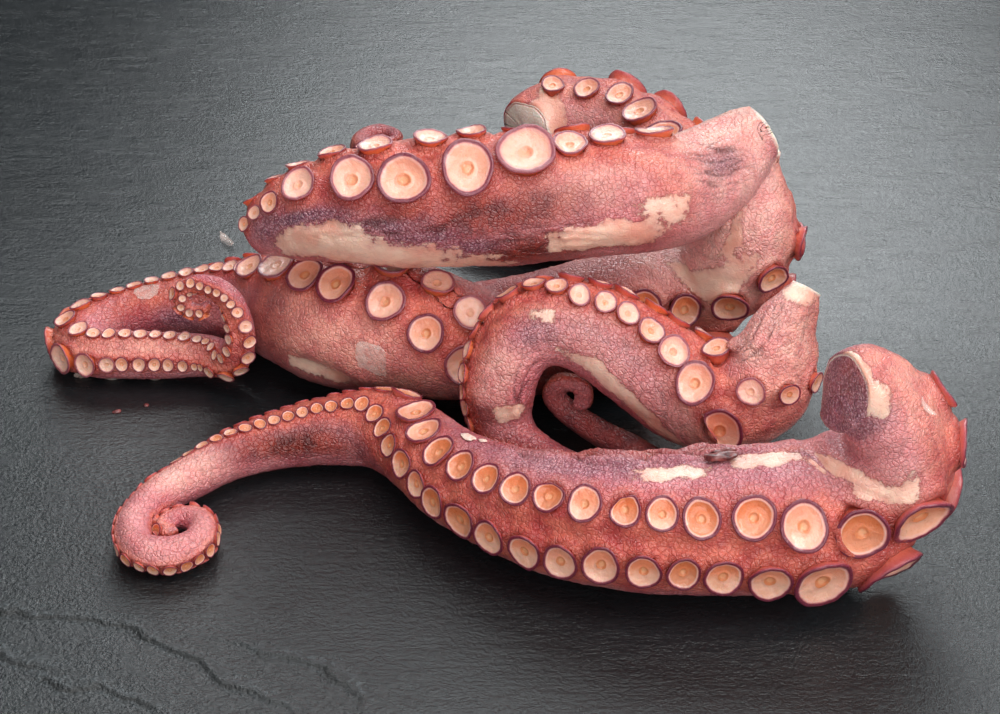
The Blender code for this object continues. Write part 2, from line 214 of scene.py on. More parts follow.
def set_values(piece, **layers):
    """Store a number per point of a mesh under each name, for its material to read."""
    for name, values in layers.items():
        layer = piece.data.attributes.new(name, "FLOAT", "POINT")
        layer.data.foreach_set("value", np.asarray(values, np.float32))


def riven_slate():
    """Natural slate, riven and oiled: near black blue grey, satin, with fine cleavage streaks."""
    paint = Paint("riven_oiled_slate")
    # Cleavage streaks about 5 mm long and 1.2 mm apart, lying across the board.
    stretched = paint.add("Mapping", Vector=paint.place, Scale=(0.30, 1.0, 1.0)).outputs[0]
    streaks = paint.noise(0.0024, 5.0, 0.62, stretched)
    grain = paint.noise(0.0009, 3.0, 0.65)
    clouds = paint.noise(0.055, 4.0, 0.55)
    crack, chip = paint.attribute("crack"), paint.attribute("chip")
    colour = paint.blend(clouds, "#141618", "#1e2326")
    fleck = paint.level(grain, 0.30, 0.72, 0.72, 1.22)
    colour = paint.blend(1.0, colour, fleck, "MULTIPLY")
    # Broken edges are paler, partly with dust and partly with a painted highlight where the ledges catch
    # the light; the cracks get painted shade, near black.
    edge_dust_and_highlight = paint.maths("MULTIPLY", chip, paint.level(grain, 0.46, 0.66))
    colour = paint.blend(edge_dust_and_highlight, colour, "#4c5458")
    paint.set("Base Color", paint.blend(paint.maths("MULTIPLY", crack, 0.9), colour, "#050606"))
    wiped = paint.level(streaks, 0.3, 0.75, 0.17, 0.30)
    paint.set("Roughness", paint.maths("MULTIPLY_ADD", paint.maths("MAXIMUM", crack, chip), 0.15, wiped))
    # The grain is worn smooth towards the back and sharp towards the front.
    front = paint.level(paint.add("SeparateXYZ", Vector=paint.place).outputs["Y"], 0.0, -0.12, 0.40, 1.0)
    front = paint.maths("MAXIMUM", front, paint.maths("MULTIPLY", chip, 1.8))
    relief = paint.maths("MULTIPLY", paint.maths("ADD", grain, streaks), front)
    paint.bump(relief, 0.0005, 0.75)
    return paint.material


def build_board():
    bm = bmesh.new()
    bmesh.ops.create_grid(bm, x_segments=300, y_segments=286, size=1.0)
    rim = [edge for edge in bm.edges if edge.is_boundary]
    half = (board_high - board_low) / 2
    grid = np.array([vert.co for vert in bm.verts])
    across = np.interp((grid[:, 0] + 1) / 2, *COLUMNS)
    along = np.interp((grid[:, 1] + 1) / 2, *ROWS)
    # The chipped sides are hollow by under 2 mm and stray a little, as on the solid.
    nibble = ripple(np.stack((across * 9, along * 9, 0 * across), 1), 1.0, 2.0)
    x = across * (half[0] - (1 - along ** 2) * (1.9 + 1.0 * nibble) * abs(across) ** 9)
    y = along * (half[1] - (1 - across ** 2) * (1.9 + 1.0 * nibble) * abs(along) ** 9)
    deep, crack, chip = cleft_face(x, y)
    z = BOARD_TOP - deep
    for vert, spot in zip(bm.verts, np.stack((x, y, z), 1).tolist()):
        vert.co = spot
    for level, inset in ((0.8, 0.25), (0.35, 0.7), (0.0, 2.3)):
        grown = bmesh.ops.extrude_edge_only(bm, edges=rim)["geom"]
        fresh = [item for item in grown if isinstance(item, bmesh.types.BMVert)]
        rim = [item for item in grown if isinstance(item, bmesh.types.BMEdge) and item.is_boundary]
        for vert in fresh:
            stray = noise.noise(vert.co / 5) * 0.5
            vert.co.x *= 1 - (inset + stray) / 2 / half[0]
            vert.co.y *= 1 - (inset + stray) / 2 / half[1]
            vert.co.z = level * BOARD_TOP
    bmesh.ops.holes_fill(bm, edges=[edge for edge in bm.edges if edge.is_boundary])
    bmesh.ops.recalc_face_normals(bm, faces=bm.faces)
    sides = len(bm.verts) - len(grid)
    board = finished("slate_board_riven", bm, riven_slate())
    set_values(board, crack=np.append(crack, np.zeros(sides)), chip=np.append(chip, np.zeros(sides)))
    board.data.set_sharp_from_angle(angle=math.radians(60))
    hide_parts("slate_board")


build_board()

# ---- Front arm ----
# The longest arm: a stout muscular arm cut off where it left the head, lying along the front with
# its suckers towards the viewer and its tip rolled up. Boiled, so the skin is rose to purple, has
# slipped off in pale patches, and is wet. Two rows of suckers run from the cut to the tip.
FRONT_ROUTE = (
    (72.8, -133, 52.0, 7.8, 1.28, (0.5, -0.2, 0.8)),
    (79, -130, 51.0, 10.2, 0.9, (0.6, -0.2, 0.75)),
    (83, -129, 46.0, 12.4, 0.82, (0.8, -0.25, 0.6)),
    (86.5, -128, 39.5, 14.2, 0.8, (0.95, -0.35, 0.3)),
    (87, -127, 32.0, 15.4, 0.84, (0.95, -0.5, 0.05)),
    (81, -127, 24.0, 16.0, 0.9, (0.6, -0.8, 0.1)),
    (74, -128, 18.8, 16.6, 1.0, (0.3, -1.0, 0.2)),
    (64, -130, 17.4, 16.8, 1.0, (0.1, -1.0, 0.2)),
    (53, -131, 17.0, 16.3, 1.0, (0.0, -1.0, 0.22)),
    (31, -131, 15.8, 15.0, 1.0, (0.0, -1.0, 0.24)),
    (13, -125, 14.2, 13.4, 1.0, (-0.2, -1.0, 0.22)),
    (0, -116, 12.8, 12.0, 1.0, (-0.5, -0.9, 0.26)),
    (-12, -104, 11.4, 10.8, 1.0, (-0.7, -0.7, 0.35)),
    (-21, -91, 10.6, 10.0, 1.0, (-0.8, -0.4, 0.6)),
    (-30, -84, 10.0, 9.4, 1.0, (-0.3, -0.2, 1.0)),
    (-41, -83, 8.8, 8.2, 1.0, (0.0, 0.1, 1.0)),
    (-53, -85, 7.5, 6.9, 1.0, (0.0, 0.2, 1.0)),
    (-64, -90, 6.5, 5.8, 1.0, (-0.2, 0.5, 0.9)),
    (-73, -98, 5.6, 5.0, 1.0, (-0.5, 0.8, 0.5)),
    (-81, -107, 5.0, 4.4, 1.0, (-0.8, 0.5, 0.0)),
    (-84.3, -116, 4.7, 4.1, 1.0, (-1.0, 0.1, -0.3)),
    (-82, -124, 4.6, 4.1, 1.0, (-0.7, -0.5, -0.6)),
    (-75, -126.4, 4.5, 4.1, 1.0, (0.1, -0.7, -0.7)),
    (-69, -122, 4.3, 3.8, 1.0, (0.9, -0.3, -0.4)),
    (-68.6, -115, 4.2, 3.3, 1.0, (0.8, 0.6, -0.1)),
    (-72.2, -112, 4.1, 2.8, 1.0, (-0.1, 1.0, 0.0)),
    (-76.2, -112.8, 4.0, 2.2, 1.0, (-0.8, 0.6, 0.0)),
    (-78.1, -115.6, 4.0, 1.7, 1.0, (-1.0, -0.2, 0.0)),
    (-76.3, -117.9, 4.0, 1.3, 1.0, (-0.2, -1.0, 0.0)),
    (-74.2, -116.4, 4.0, 0.9, 1.0, (1.0, -0.2, 0.0)),
)


def smooth_curve(values, u):
    """Catmull-Rom curve through a list of numbers or vectors, read at the positions u."""
    values = np.asarray(values, float)
    low = np.minimum(u.astype(int), len(values) - 2)
    t = u - low
    if values.ndim == 2:
        t = t[:, None]
    before, after = values[np.maximum(low - 1, 0)], values[np.minimum(low + 2, len(values) - 1)]
    start, end = values[low], values[low + 1]
    bend = 2 * before - 5 * start + 4 * end - after
    swing = -before + 3 * start - 3 * end + after
    return 0.5 * (2 * start + (end - before) * t + bend * t ** 2 + swing * t ** 3)


def unit(vectors):
    return vectors / np.linalg.norm(vectors, axis=-1, keepdims=True)


class Arm:
    """A smooth route through an arm's middle, read at any distance along it in millimetres."""

    def __init__(self, rows):
        u = np.linspace(0, len(rows) - 1, 60 * (len(rows) - 1) + 1)
        centre = smooth_curve([row[:3] for row in rows], u) + (0, 0, BOARD_TOP)
        facing = smooth_curve(unit(np.array([row[5] for row in rows])), u)
        width = np.maximum(smooth_curve([row[3] for row in rows], u), 0.25)
        deep = width * smooth_curve([row[4] for row in rows], u)
        along = unit(np.gradient(centre, axis=0))
        oral = unit(facing - along * np.sum(facing * along, axis=1, keepdims=True))
        side = np.cross(along, oral)
        steps = np.linalg.norm(np.diff(centre, axis=0), axis=1)
        self.travel = np.concatenate(([0], np.cumsum(steps)))
        self.columns = np.column_stack((centre, along, oral, side, width, deep))
        self.length = self.travel[-1]

    def read(self, s):
        """Centre, along, oral and side directions, half width and half depth at the distances s."""
        inside = np.clip(s, 0, self.length)
        got = np.stack([np.interp(inside, self.travel, column) for column in self.columns.T], axis=-1)
        centre = got[..., 0:3] + got[..., 3:6] * (s - inside)[..., None]
        directions = (unit(got[..., first:first + 3]) for first in (3, 6, 9))
        return (centre, *directions, got[..., 12], got[..., 13])

    def surface(self, s, turn):
        """Point and outward direction on the smooth arm; turn is measured from the oral middle."""
        centre, _, oral, side, width, deep = self.read(s)
        c, w = np.cos(turn)[..., None], np.sin(turn)[..., None]
        wide, tall = width[..., None], deep[..., None]
        return centre + oral * tall * c + side * wide * w, unit(oral * c / tall + side * w / wide)


def sucker_row(arm, places, fullness=((0, 0.96),)):
    """Suckers along an arm through chosen ones: distance along, turn and radius of each.

    A place is a sucker's number in the row, its distance along and its turn in degrees; the ones
    between two places are spread evenly. fullness gives, by distance, the radius as a share of
    half the way to the neighbours.
    """
    number, far, angle = zip(*places)
    index = np.arange(number[0], number[-1] + 1)
    s, turn = np.interp(index, number, far), np.radians(np.interp(index, number, angle))
    gaps = np.linalg.norm(np.diff(arm.surface(s, turn)[0], axis=0), axis=1)
    reach = (np.append(gaps[:1], gaps) + np.append(gaps, gaps[-1:])) / 4
    return list(zip(s, turn, reach * np.interp(s, *zip(*fullness))))


# A sucker in section, from its stalk in the skin over the lip to the plug in its middle:
# distance from its axis and height, as shares of its radius.
SUCKER_SECTION = (
    (0.74, -0.62), (0.76, -0.36), (0.80, -0.14), (0.86, 0.01), (0.925, 0.10), (0.975, 0.165),
    (1.00, 0.22), (0.99, 0.265), (0.955, 0.29), (0.91, 0.285), (0.87, 0.265), (0.825, 0.25),
    (0.785, 0.235), (0.735, 0.205), (0.65, 0.165), (0.54, 0.135), (0.42, 0.115), (0.335, 0.105),
    (0.285, 0.125), (0.235, 0.125), (0.19, 0.09), (0.12, 0.065), (0.05, 0.06), (0.0, 0.055),
)
LIP_CREST = 8                   # the point of the section where the lip is highest
SMALL_SECTION = tuple(SUCKER_SECTION[i] for i in (0, 2, 4, 6, 8, 10, 12, 14, 17, 19, 23))


def section_share(far, up):
    """Where points lie along the section: 0 at the foot, 0.5 on the lip's crest, 1 in the middle."""
    section = np.array(SUCKER_SECTION)
    outside = np.linspace(0.0, 0.5, LIP_CREST + 1)
    inside = 1 - 0.5 * section[LIP_CREST + 1:, 0] / section[LIP_CREST, 0]
    nearest = np.hypot(far[:, None] - section[:, 0], up[:, None] - section[:, 1]).argmin(axis=1)
    return np.append(outside, inside)[nearest]


def turned_sucker(section, steps):
    """One sucker of radius 1, spun from its section."""
    bm = bmesh.new()
    verts = [bm.verts.new((far, 0, up)) for far, up in section]
    edges = [bm.edges.new(pair) for pair in zip(verts, verts[1:])]
    bmesh.ops.spin(bm, geom=verts + edges, cent=(0, 0, 0), axis=(0, 0, 1), angle=2 * math.pi,
                   steps=steps, use_merge=True)
    bmesh.ops.remove_doubles(bm, verts=bm.verts, dist=0.0001)
    bmesh.ops.holes_fill(bm, edges=[edge for edge in bm.edges if edge.is_boundary])
    bmesh.ops.recalc_face_normals(bm, faces=bm.faces)
    mesh = bpy.data.meshes.new("sucker_pattern")
    bm.to_mesh(mesh)
    bm.free()
    return mesh


# Patterns for suckers of at least these radii in millimetres.
SUCKER_PATTERNS = (
    (3.0, turned_sucker(SUCKER_SECTION, 40)),
    (1.5, turned_sucker(SUCKER_SECTION, 24)),
    (0.0, turned_sucker(SMALL_SECTION, 14)),
)


def coordinates(mesh):
    flat = np.empty(3 * len(mesh.vertices))
    mesh.vertices.foreach_get("co", flat)
    return flat.reshape(-1, 3)


def folded_lip(toward, reach=0.5, rise=0.3):
    """A sucker whose lip is bent in over its dish on the side `toward`, in degrees."""
    def bend(far, up, phase):
        share = fade(np.cos(phase - math.radians(toward)), 0.25, 0.95) * fade(far, 0.45, 0.95)
        return far * (1 - reach * share), up + rise * share
    return bend


def sucker_cluster(name, arm, suckers, material, rng, proud, tones, folded):
    """Every sucker of an arm in one mesh, each with its own oval, lean, dish and uneven lip.

    proud lifts them off the skin on their stalks, as a share of the radius; tones are the limits
    of their paleness; folded holds the damaged ones by number.
    """
    bm = bmesh.new()
    placed, pale, shares, shade_heights = [], [], [], []
    for index, (s, turn, radius) in enumerate(suckers):
        pattern = [mesh for least, mesh in SUCKER_PATTERNS if radius >= least][0]
        shape = coordinates(pattern)
        far, phase = np.hypot(shape[:, 0], shape[:, 1]), np.arctan2(shape[:, 1], shape[:, 0])
        up = shape[:, 2].copy()
        share = section_share(far, up)
        spot, out = (value[0] for value in arm.surface(np.array([s]), np.array([turn])))
        along = arm.read(np.array([s]))[1][0]
        out = unit(out + np.array([rng.uniform(-0.09, 0.09) for _ in range(3)]))
        across = unit(np.cross(out, along))
        ahead = np.cross(across, out)
        p0, p1, p2, p3 = (rng.uniform(0, 2 * math.pi) for _ in range(4))
        wave = 1 + 0.03 * np.cos(2 * phase + p0) + 0.022 * np.cos(3 * phase + p1)
        wave += 0.010 * np.cos(7 * phase + p2)
        lip = fade(far, 0.3, 1.0)
        up += lip * (0.04 * np.cos(2 * phase + p1) + 0.03 * np.cos(3 * phase + p2))
        up += lip * 0.010 * np.cos(11 * phase + p3)
        dish = rng.uniform(0.7, 1.6)
        up = np.where(share > 0.56, 0.25 - (0.25 - up) * dish, up)
        lumps = ripple(np.stack((shape[:, 0], shape[:, 1], 0 * far), 1), 0.45, p0 * 9)
        up += 0.05 * lumps * (share > 0.56) * fade(far, 0.8, 0.6)
        if index in folded:
            far, up = folded[index](far, up, phase)
        long, wide = rng.uniform(0.92, 1.0), rng.uniform(1.0, 1.12)
        x, y = far * np.cos(phase) * wave * long * radius, far * np.sin(phase) * wave * wide * radius
        rise = (up + proud) * radius
        cup = spot + ahead * x[:, None] + across * y[:, None] + out * rise[:, None]
        bm.from_mesh(pattern)
        placed.append(cup)
        pale.append(np.full(len(cup), rng.uniform(*tones)))
        shares.append(share)
        # Height within each sucker, for painted shade: the dish is painted orange towards its top, under
        # the lip.
        shade_heights.append((cup[:, 2] - spot[2] - out[2] * proud * radius) / radius)
    for vert, place in zip(bm.verts, np.concatenate(placed).tolist()):
        vert.co = place
    cluster = finished(name, bm, material)
    set_values(cluster, tone=np.concatenate(pale), section=np.concatenate(shares),
               high=np.concatenate(shade_heights) * 0.5 + 0.5)
    return cluster


def skin_rings(arm, step):
    """Distances along and sizes of the rings of an arm's skin: cut face, body and rounded tip."""
    width = arm.read(np.array([0.0]))[4][0]
    cut = [(-0.12 * width * (1 - share ** 2), share) for share in np.linspace(0, 0.94, 24)]
    cut += [(0.12, 0.975), (0.5, 0.997)]
    body = [(s, 1.0) for s in np.arange(1.1, arm.length - 0.4, step)]
    tip = [(arm.length - 0.2, 0.85), (arm.length, 0.55), (arm.length + 0.1, 0.0)]
    return np.array(cut + body + tip)


def patch(s, turn, at, angle, length, breadth, power):
    """1 in the middle of a patch of skin, falling to 0 outside it; length in mm, angles in degrees."""
    swing = (np.degrees(turn) - angle + 180) % 360 - 180
    return np.exp(-np.abs((s - at) / length) ** power - np.abs(swing / breadth) ** power)


def round_mean(sheet, reach):
    """Mean of every point with the `reach` points on either side of it round the arm."""
    return sum(np.roll(sheet, shift, axis=1) for shift in range(-reach, reach + 1)) / (2 * reach + 1)


# Kinds of mark on the skin; most "dark" marks are painted shade, where an arm lies in shadow or in a
# groove.
SKIN_MARKS = ("peel", "purple", "warm", "dark", "pale")


def arm_skin(name, arm, suckers, material, step=0.8, sides=140, lumps=(), folds=(), marks=(), wrinkle=1.0):
    """Skin of an arm: a tube rolled from a grid, drawn up round the suckers and creased like skin.

    lumps, folds and marks are patches: distance along, turn in degrees, length, breadth in degrees
    and height or strength. A mark starts with its kind; "skinned" covers the cut face with skin,
    and "sealed" hides the pale edge of that skin.
    """
    rings = skin_rings(arm, step)
    bm = bmesh.new()
    bmesh.ops.create_grid(bm, x_segments=len(rings) - 1, y_segments=sides, size=1.0)
    grid = np.array([vert.co for vert in bm.verts])
    ring = np.rint((grid[:, 0] + 1) / 2 * (len(rings) - 1)).astype(int)
    s, share = rings[ring].T
    turn = grid[:, 1] * math.pi
    spot, out = arm.surface(s, turn)
    centre, _, _, _, width, _ = arm.read(s)
    # Distance to the nearest sucker as a share of its radius; the skin rises to each sucker's
    # stalk and dips under its dish.
    feet = arm.surface(*(np.array(column) for column in list(zip(*suckers))[:2]))[0]
    near = np.full(len(s), 9.0)
    rise, sunk = np.zeros(len(s)), np.zeros(len(s))
    for foot, (_, _, size) in zip(feet, suckers):
        close = np.linalg.norm(spot - foot, axis=1) / size
        near = np.minimum(near, close)
        rise = np.maximum(rise, size * 0.22 * (1 - fade(close, 0.8, 1.5)))
        sunk = np.maximum(sunk, size * (1 - fade(close, 0.60, 0.84)))
    small = np.clip(width / 8, 0.2, 1.0)
    clear = fade(near, 1.1, 1.7)
    lift = rise - 0.05 * width * (1 - fade(np.abs(turn), 0.1, 0.42)) * (near > 1)
    lift += small * (0.45 * ripple(spot, 11, 1.5) + 0.16 * ripple(spot, 3.6, 6.2)) * (0.3 + 0.7 * clear)
    # Fine wrinkles run round the arm; each gets painted shade, darkest where it is deepest.
    unrolled = np.stack((s, width * np.abs(turn), width * np.sin(turn)), axis=1)
    wrinkles = ripple(unrolled, (1.5, 4.2, 4.2), 4.4) + 0.5 * ripple(unrolled, (0.9, 2.0, 2.0), 7.7)
    furrow = np.exp(-(wrinkles / 0.13) ** 2) * clear * wrinkle
    lift += small * (0.13 * wrinkles * clear * wrinkle - 0.12 * furrow)
    crease_shade = 0.30 * furrow
    for at, angle, length, breadth, height in lumps:
        lift += height * patch(s, turn, at, angle, length, breadth, 2)
    for at, angle, length, breadth, height in folds:
        reach = patch(s, turn, at, angle, length, breadth, 4)
        pleat = ripple(unrolled, (16, 2.2, 5), 2.7) + 0.35 * ripple(unrolled, (6, 1.4, 3), 9.1)
        groove = np.exp(-(pleat / 0.13) ** 2)
        lift += height * reach * (np.abs(pleat) * 1.5 - groove)
        # The fold's grooves get painted shade as well.
        crease_shade = np.maximum(crease_shade, reach * groove)
    # The flesh of the cut face is uneven, and its skin edge stands up a little.
    face = (share < 0.99) & (s < arm.length / 2)
    along = arm.read(s)[1]
    bumps = 0.05 * width * ripple(spot, 5.0, 3.3)
    lift = np.where(face, 0, lift - 0.8 * sunk) * (s < arm.length - 0.1)
    spot = centre + (spot - centre) * share[:, None] + out * (lift * share)[:, None]
    spot -= along * np.where(face, bumps + 0.5 * fade(share, 0.8, 0.93), 0)[:, None]
    # Inside a tight bend the rings would cross; there the skin is drawn smooth.
    order = np.lexsort((grid[:, 1], ring))
    sheet, ahead = (points[order].reshape(len(rings), sides + 1, 3)[:, :-1] for points in (spot, along))
    first = np.count_nonzero(rings[:, 1] < 1)
    tight = np.zeros((len(rings), sides, 1))
    for _ in range(160):
        gain = np.sum((sheet[2:] - sheet[:-2]) * ahead[1:-1], axis=2, keepdims=True)
        pinched = round_mean(1 - fade(gain, 0.0, step), sides // 28)
        tight[1:-1] = np.maximum(tight[1:-1], pinched)
        sheet[1:-1] += pinched * ((sheet[2:] + sheet[:-2]) / 2 - sheet[1:-1])
    tight = round_mean(tight[first:], sides // 28)
    for _ in range(24):
        mean = (sheet[first - 1:-1] + np.append(sheet[first + 1:], sheet[-1:], axis=0)) / 2
        sheet[first:] += tight * ((mean + round_mean(sheet[first:], 1)) / 2 - sheet[first:])
    spot[order] = np.append(sheet, sheet[:, :1], axis=1).reshape(-1, 3)
    values = {kind: np.zeros(len(s)) for kind in (*SKIN_MARKS, "skinned", "sealed")}
    for kind, at, angle, length, breadth, strength in marks:
        reach = strength * patch(s, turn, at, angle, length, breadth, 3)
        if kind == "peel":
            reach = np.where(face, 0, reach)
        values[kind] = np.maximum(values[kind], reach)
    cut = np.where(face, 1 - fade(share, 0.90, 0.97), 0)
    cut *= 1 - np.clip(values.pop("skinned"), 0, 1)
    rim = fade(share, 0.94, 0.97) * fade(share, 1.0, 0.98) * face
    values["cut"] = np.maximum(cut, rim * (1 - np.clip(values.pop("sealed"), 0, 1)))
    values["nearness"] = np.clip(2.0 - near, 0, 1)
    values["oral"] = np.cos(turn) * 0.5 + 0.5
    values["crease_shade"] = crease_shade
    for vert, place in zip(bm.verts, spot.tolist()):
        vert.co = place
    layers = {key: bm.verts.layers.float.new(key) for key in values}
    for key, layer in layers.items():
        for vert, value in zip(bm.verts, values[key].tolist()):
            vert[layer] = value
    bmesh.ops.remove_doubles(bm, verts=bm.verts, dist=0.004)
    bmesh.ops.recalc_face_normals(bm, faces=bm.faces)
    skin = finished(name, bm, material)
    return skin


def boiled_skin():
    """Octopus skin after boiling: rose to mauve, netted with purple, peeling, translucent and wet."""
    paint = Paint("boiled_octopus_skin")
    marks = {key: paint.attribute(key) for key in (*SKIN_MARKS, "nearness", "cut", "oral", "crease_shade")}
    cloud = paint.noise(0.013, 3.0)
    blotch = paint.noise(0.0052, 5.0, 0.62)
    fine = paint.noise(0.0006, 3.0, 0.65)
    net = paint.cells(0.00125, "DISTANCE_TO_EDGE")
    grain = paint.cells(0.00052, "F1")
    blend, level, maths = paint.blend, paint.level, paint.maths

    mauve = blend(level(cloud, 0.35, 0.65), "#cd6a74", "#e8979a")
    mauve = blend(maths("MULTIPLY", level(blotch, 0.50, 0.75), 0.5), mauve, "#c05a5c")
    # Pigment lies in a net of about 1.2 mm and in grains of half that.
    mauve = blend(maths("MULTIPLY", level(net, 0.10, 0.02), 0.15), mauve, "#8e4252")
    mauve = blend(maths("MULTIPLY", level(grain, 0.35, 0.75), 0.30), mauve, "#a8525f")
    red = blend(level(blotch, 0.32, 0.66), "#b83c36", "#e2745c")
    warm = maths("MAXIMUM", level(marks["oral"], 0.74, 0.93, 0.0, 0.85), marks["warm"])
    warm = maths("MAXIMUM", warm, level(marks["nearness"], 0.15, 0.75, 0.0, 0.65))
    colour = blend(warm, mauve, red)
    # The "pale" marks are partly paler skin and partly a painted highlight, where the wet skin shows
    # glare.
    light = blend(level(blotch, 0.3, 0.7), "#ef9f98", "#fac6b8")
    colour = blend(maths("MULTIPLY", marks["pale"], 0.85), colour, light)
    # The "dark" marks turn the skin deep red-brown; most are painted shade on skin that lies in shadow.
    deep = blend(level(blotch, 0.35, 0.65), "#5a1716", "#983a2e")
    colour = blend(marks["dark"], colour, deep)
    stain = maths("MULTIPLY", marks["purple"], level(blotch, 0.25, 0.60, 0.55, 1.0))
    violet = blend(level(grain, 0.22, 0.62), "#bf939f", "#7a475b")
    violet = blend(level(net, 0.13, 0.03, 0.0, 0.45), violet, "#5a2438")
    colour = blend(stain, colour, violet)
    colour = blend(level(marks["nearness"], 0.80, 1.0, 0.0, 0.55), colour, "#96382f")
    # Painted shade in the wrinkles and in the grooves of the folds.
    colour = blend(maths("MULTIPLY", marks["crease_shade"], 0.75), colour, "#4d181c")
    # Where the skin has slipped off, pale flesh shows with a crisp ragged edge.
    ragged = maths("MULTIPLY_ADD", paint.noise(0.0036, 6.0, 0.68), 1.6, marks["peel"])
    torn = maths("MULTIPLY", maths("SUBTRACT", ragged, 0.8), level(marks["peel"], 0.04, 0.22))
    bare = level(torn, 0.30, 0.42)
    colour = blend(level(torn, 0.14, 0.28, 0.0, 0.30), colour, "#a3504f")
    flesh = blend(level(cloud, 0.30, 0.62), "#eaa590", "#f5d2bc")
    colour = blend(maths("MULTIPLY", bare, level(torn, 0.3, 0.8, 0.55, 0.92)), colour, flesh)
    colour = blend(marks["cut"], colour, blend(level(fine, 0.3, 0.7), "#f0d8c6", "#fcf3e8"))
    paint.set("Base Color", colour)
    paint.set("Roughness", level(fine, 0.3, 0.7, 0.30, 0.50))
    paint.set("IOR", 1.40)
    paint.set("Subsurface Weight", 0.30)
    paint.set("Subsurface Radius", (1.0, 0.36, 0.22))
    paint.set("Subsurface Scale", 0.0022)
    paint.set("Coat Weight", 0.60)
    paint.set("Coat Roughness", 0.10)
    covered = maths("SUBTRACT", 1.0, maths("MAXIMUM", bare, marks["cut"]))
    relief = maths("MULTIPLY_ADD", level(net, 0.0, 0.16), 0.9, maths("MULTIPLY", fine, 0.8))
    relief = maths("MULTIPLY_ADD", grain, -0.6, relief)
    relief = maths("MULTIPLY", relief, maths("MULTIPLY_ADD", covered, 0.8, 0.2))
    relief = maths("ADD", relief, covered)
    creased = paint.bump(relief, 0.00034, 0.75)
    # The wet film follows the skin, with soft swells of its own.
    paint.bump(blotch, 0.00056, 0.75, "Coat Normal", Normal=creased)
    return paint.material


def boiled_sucker():
    """Sucker flesh: orange stalk, purple wall, maroon lip, cream dish whose upper part is painted orange
    as shade.
    """
    paint = Paint("boiled_octopus_sucker")
    section, tone, high = (paint.attribute(key) for key in ("section", "tone", "high"))
    fine = paint.noise(0.0007, 3.0, 0.65)
    blotch = paint.noise(0.0021, 4.0, 0.6)
    blend, level, maths = paint.blend, paint.level, paint.maths
    place = maths("MULTIPLY_ADD", blotch, 0.024, maths("SUBTRACT", section, 0.012))
    wall = paint.ramp(place, (0.0, "#cf5a44"), (0.20, "#cf6656"), (0.31, "#c05c5c"), (0.38, "#a04852"),
                      (0.43, "#6c2439"), (0.545, "#6f263a"), (0.562, "#cf8080"), (0.58, "#f0b8a8"))
    pale_one = level(tone, 0.3, 1.0)
    wall = blend(maths("MULTIPLY", pale_one, level(place, 0.40, 0.28, 0.0, 0.75)), wall, "#e5733f")
    wall = blend(maths("MULTIPLY", pale_one, level(place, 0.38, 0.43, 0.0, 0.35)), wall, "#c07a80")
    # Painted shade: the upper part of each dish, shaded by the lip, is painted orange and the lower part
    # cream.
    dish = blend(level(high, 0.30, 0.72), "#f3b79c", "#e67c4e")
    dish = blend(maths("MULTIPLY", tone, 0.8), dish, "#f8c7b6")
    dish = blend(level(tone, 0.2, -0.5, 0.0, 0.7), dish, "#cf7448")
    dish = blend(level(blotch, 0.45, 0.75, 0.0, 0.35), dish, "#e28a62")
    shade = level(tone, 0.3, 1.1, 1.0, 0.35)
    plug = blend(maths("MULTIPLY", level(place, 0.845, 0.875), shade), dish, "#d98358")
    plug = blend(maths("MULTIPLY", level(place, 0.90, 0.95), shade), plug, "#eaa57c")
    rim = level(place, 0.585, 0.625)
    paint.set("Base Color", blend(rim, wall, plug))
    paint.set("Roughness", level(fine, 0.3, 0.7, 0.25, 0.42))
    paint.set("IOR", 1.40)
    paint.set("Subsurface Weight", 0.35)
    paint.set("Subsurface Radius", (1.0, 0.40, 0.22))
    paint.set("Subsurface Scale", 0.0022)
    paint.set("Coat Weight", 0.45)
    paint.set("Coat Roughness", 0.10)
    paint.bump(maths("MULTIPLY_ADD", blotch, 1.4, fine), 0.00030, 0.7)
    return paint.material


SKIN = boiled_skin()
SUCKER = boiled_sucker()


def dressed_arm(name, node, arm, rows, seed, proud=0.05, tones=(0.0, 0.8), folded=(), **skin_options):
    """An arm's skin and its suckers, which together stand for one solid."""
    suckers = [sucker for row in rows for sucker in row]
    skin = arm_skin(name + "_skin", arm, suckers, SKIN, **skin_options)
    rng = random.Random(seed)
    cups = sucker_cluster(name + "_suckers", arm, suckers, SUCKER, rng, proud, tones, folded)
    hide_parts(node)
    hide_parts(node)


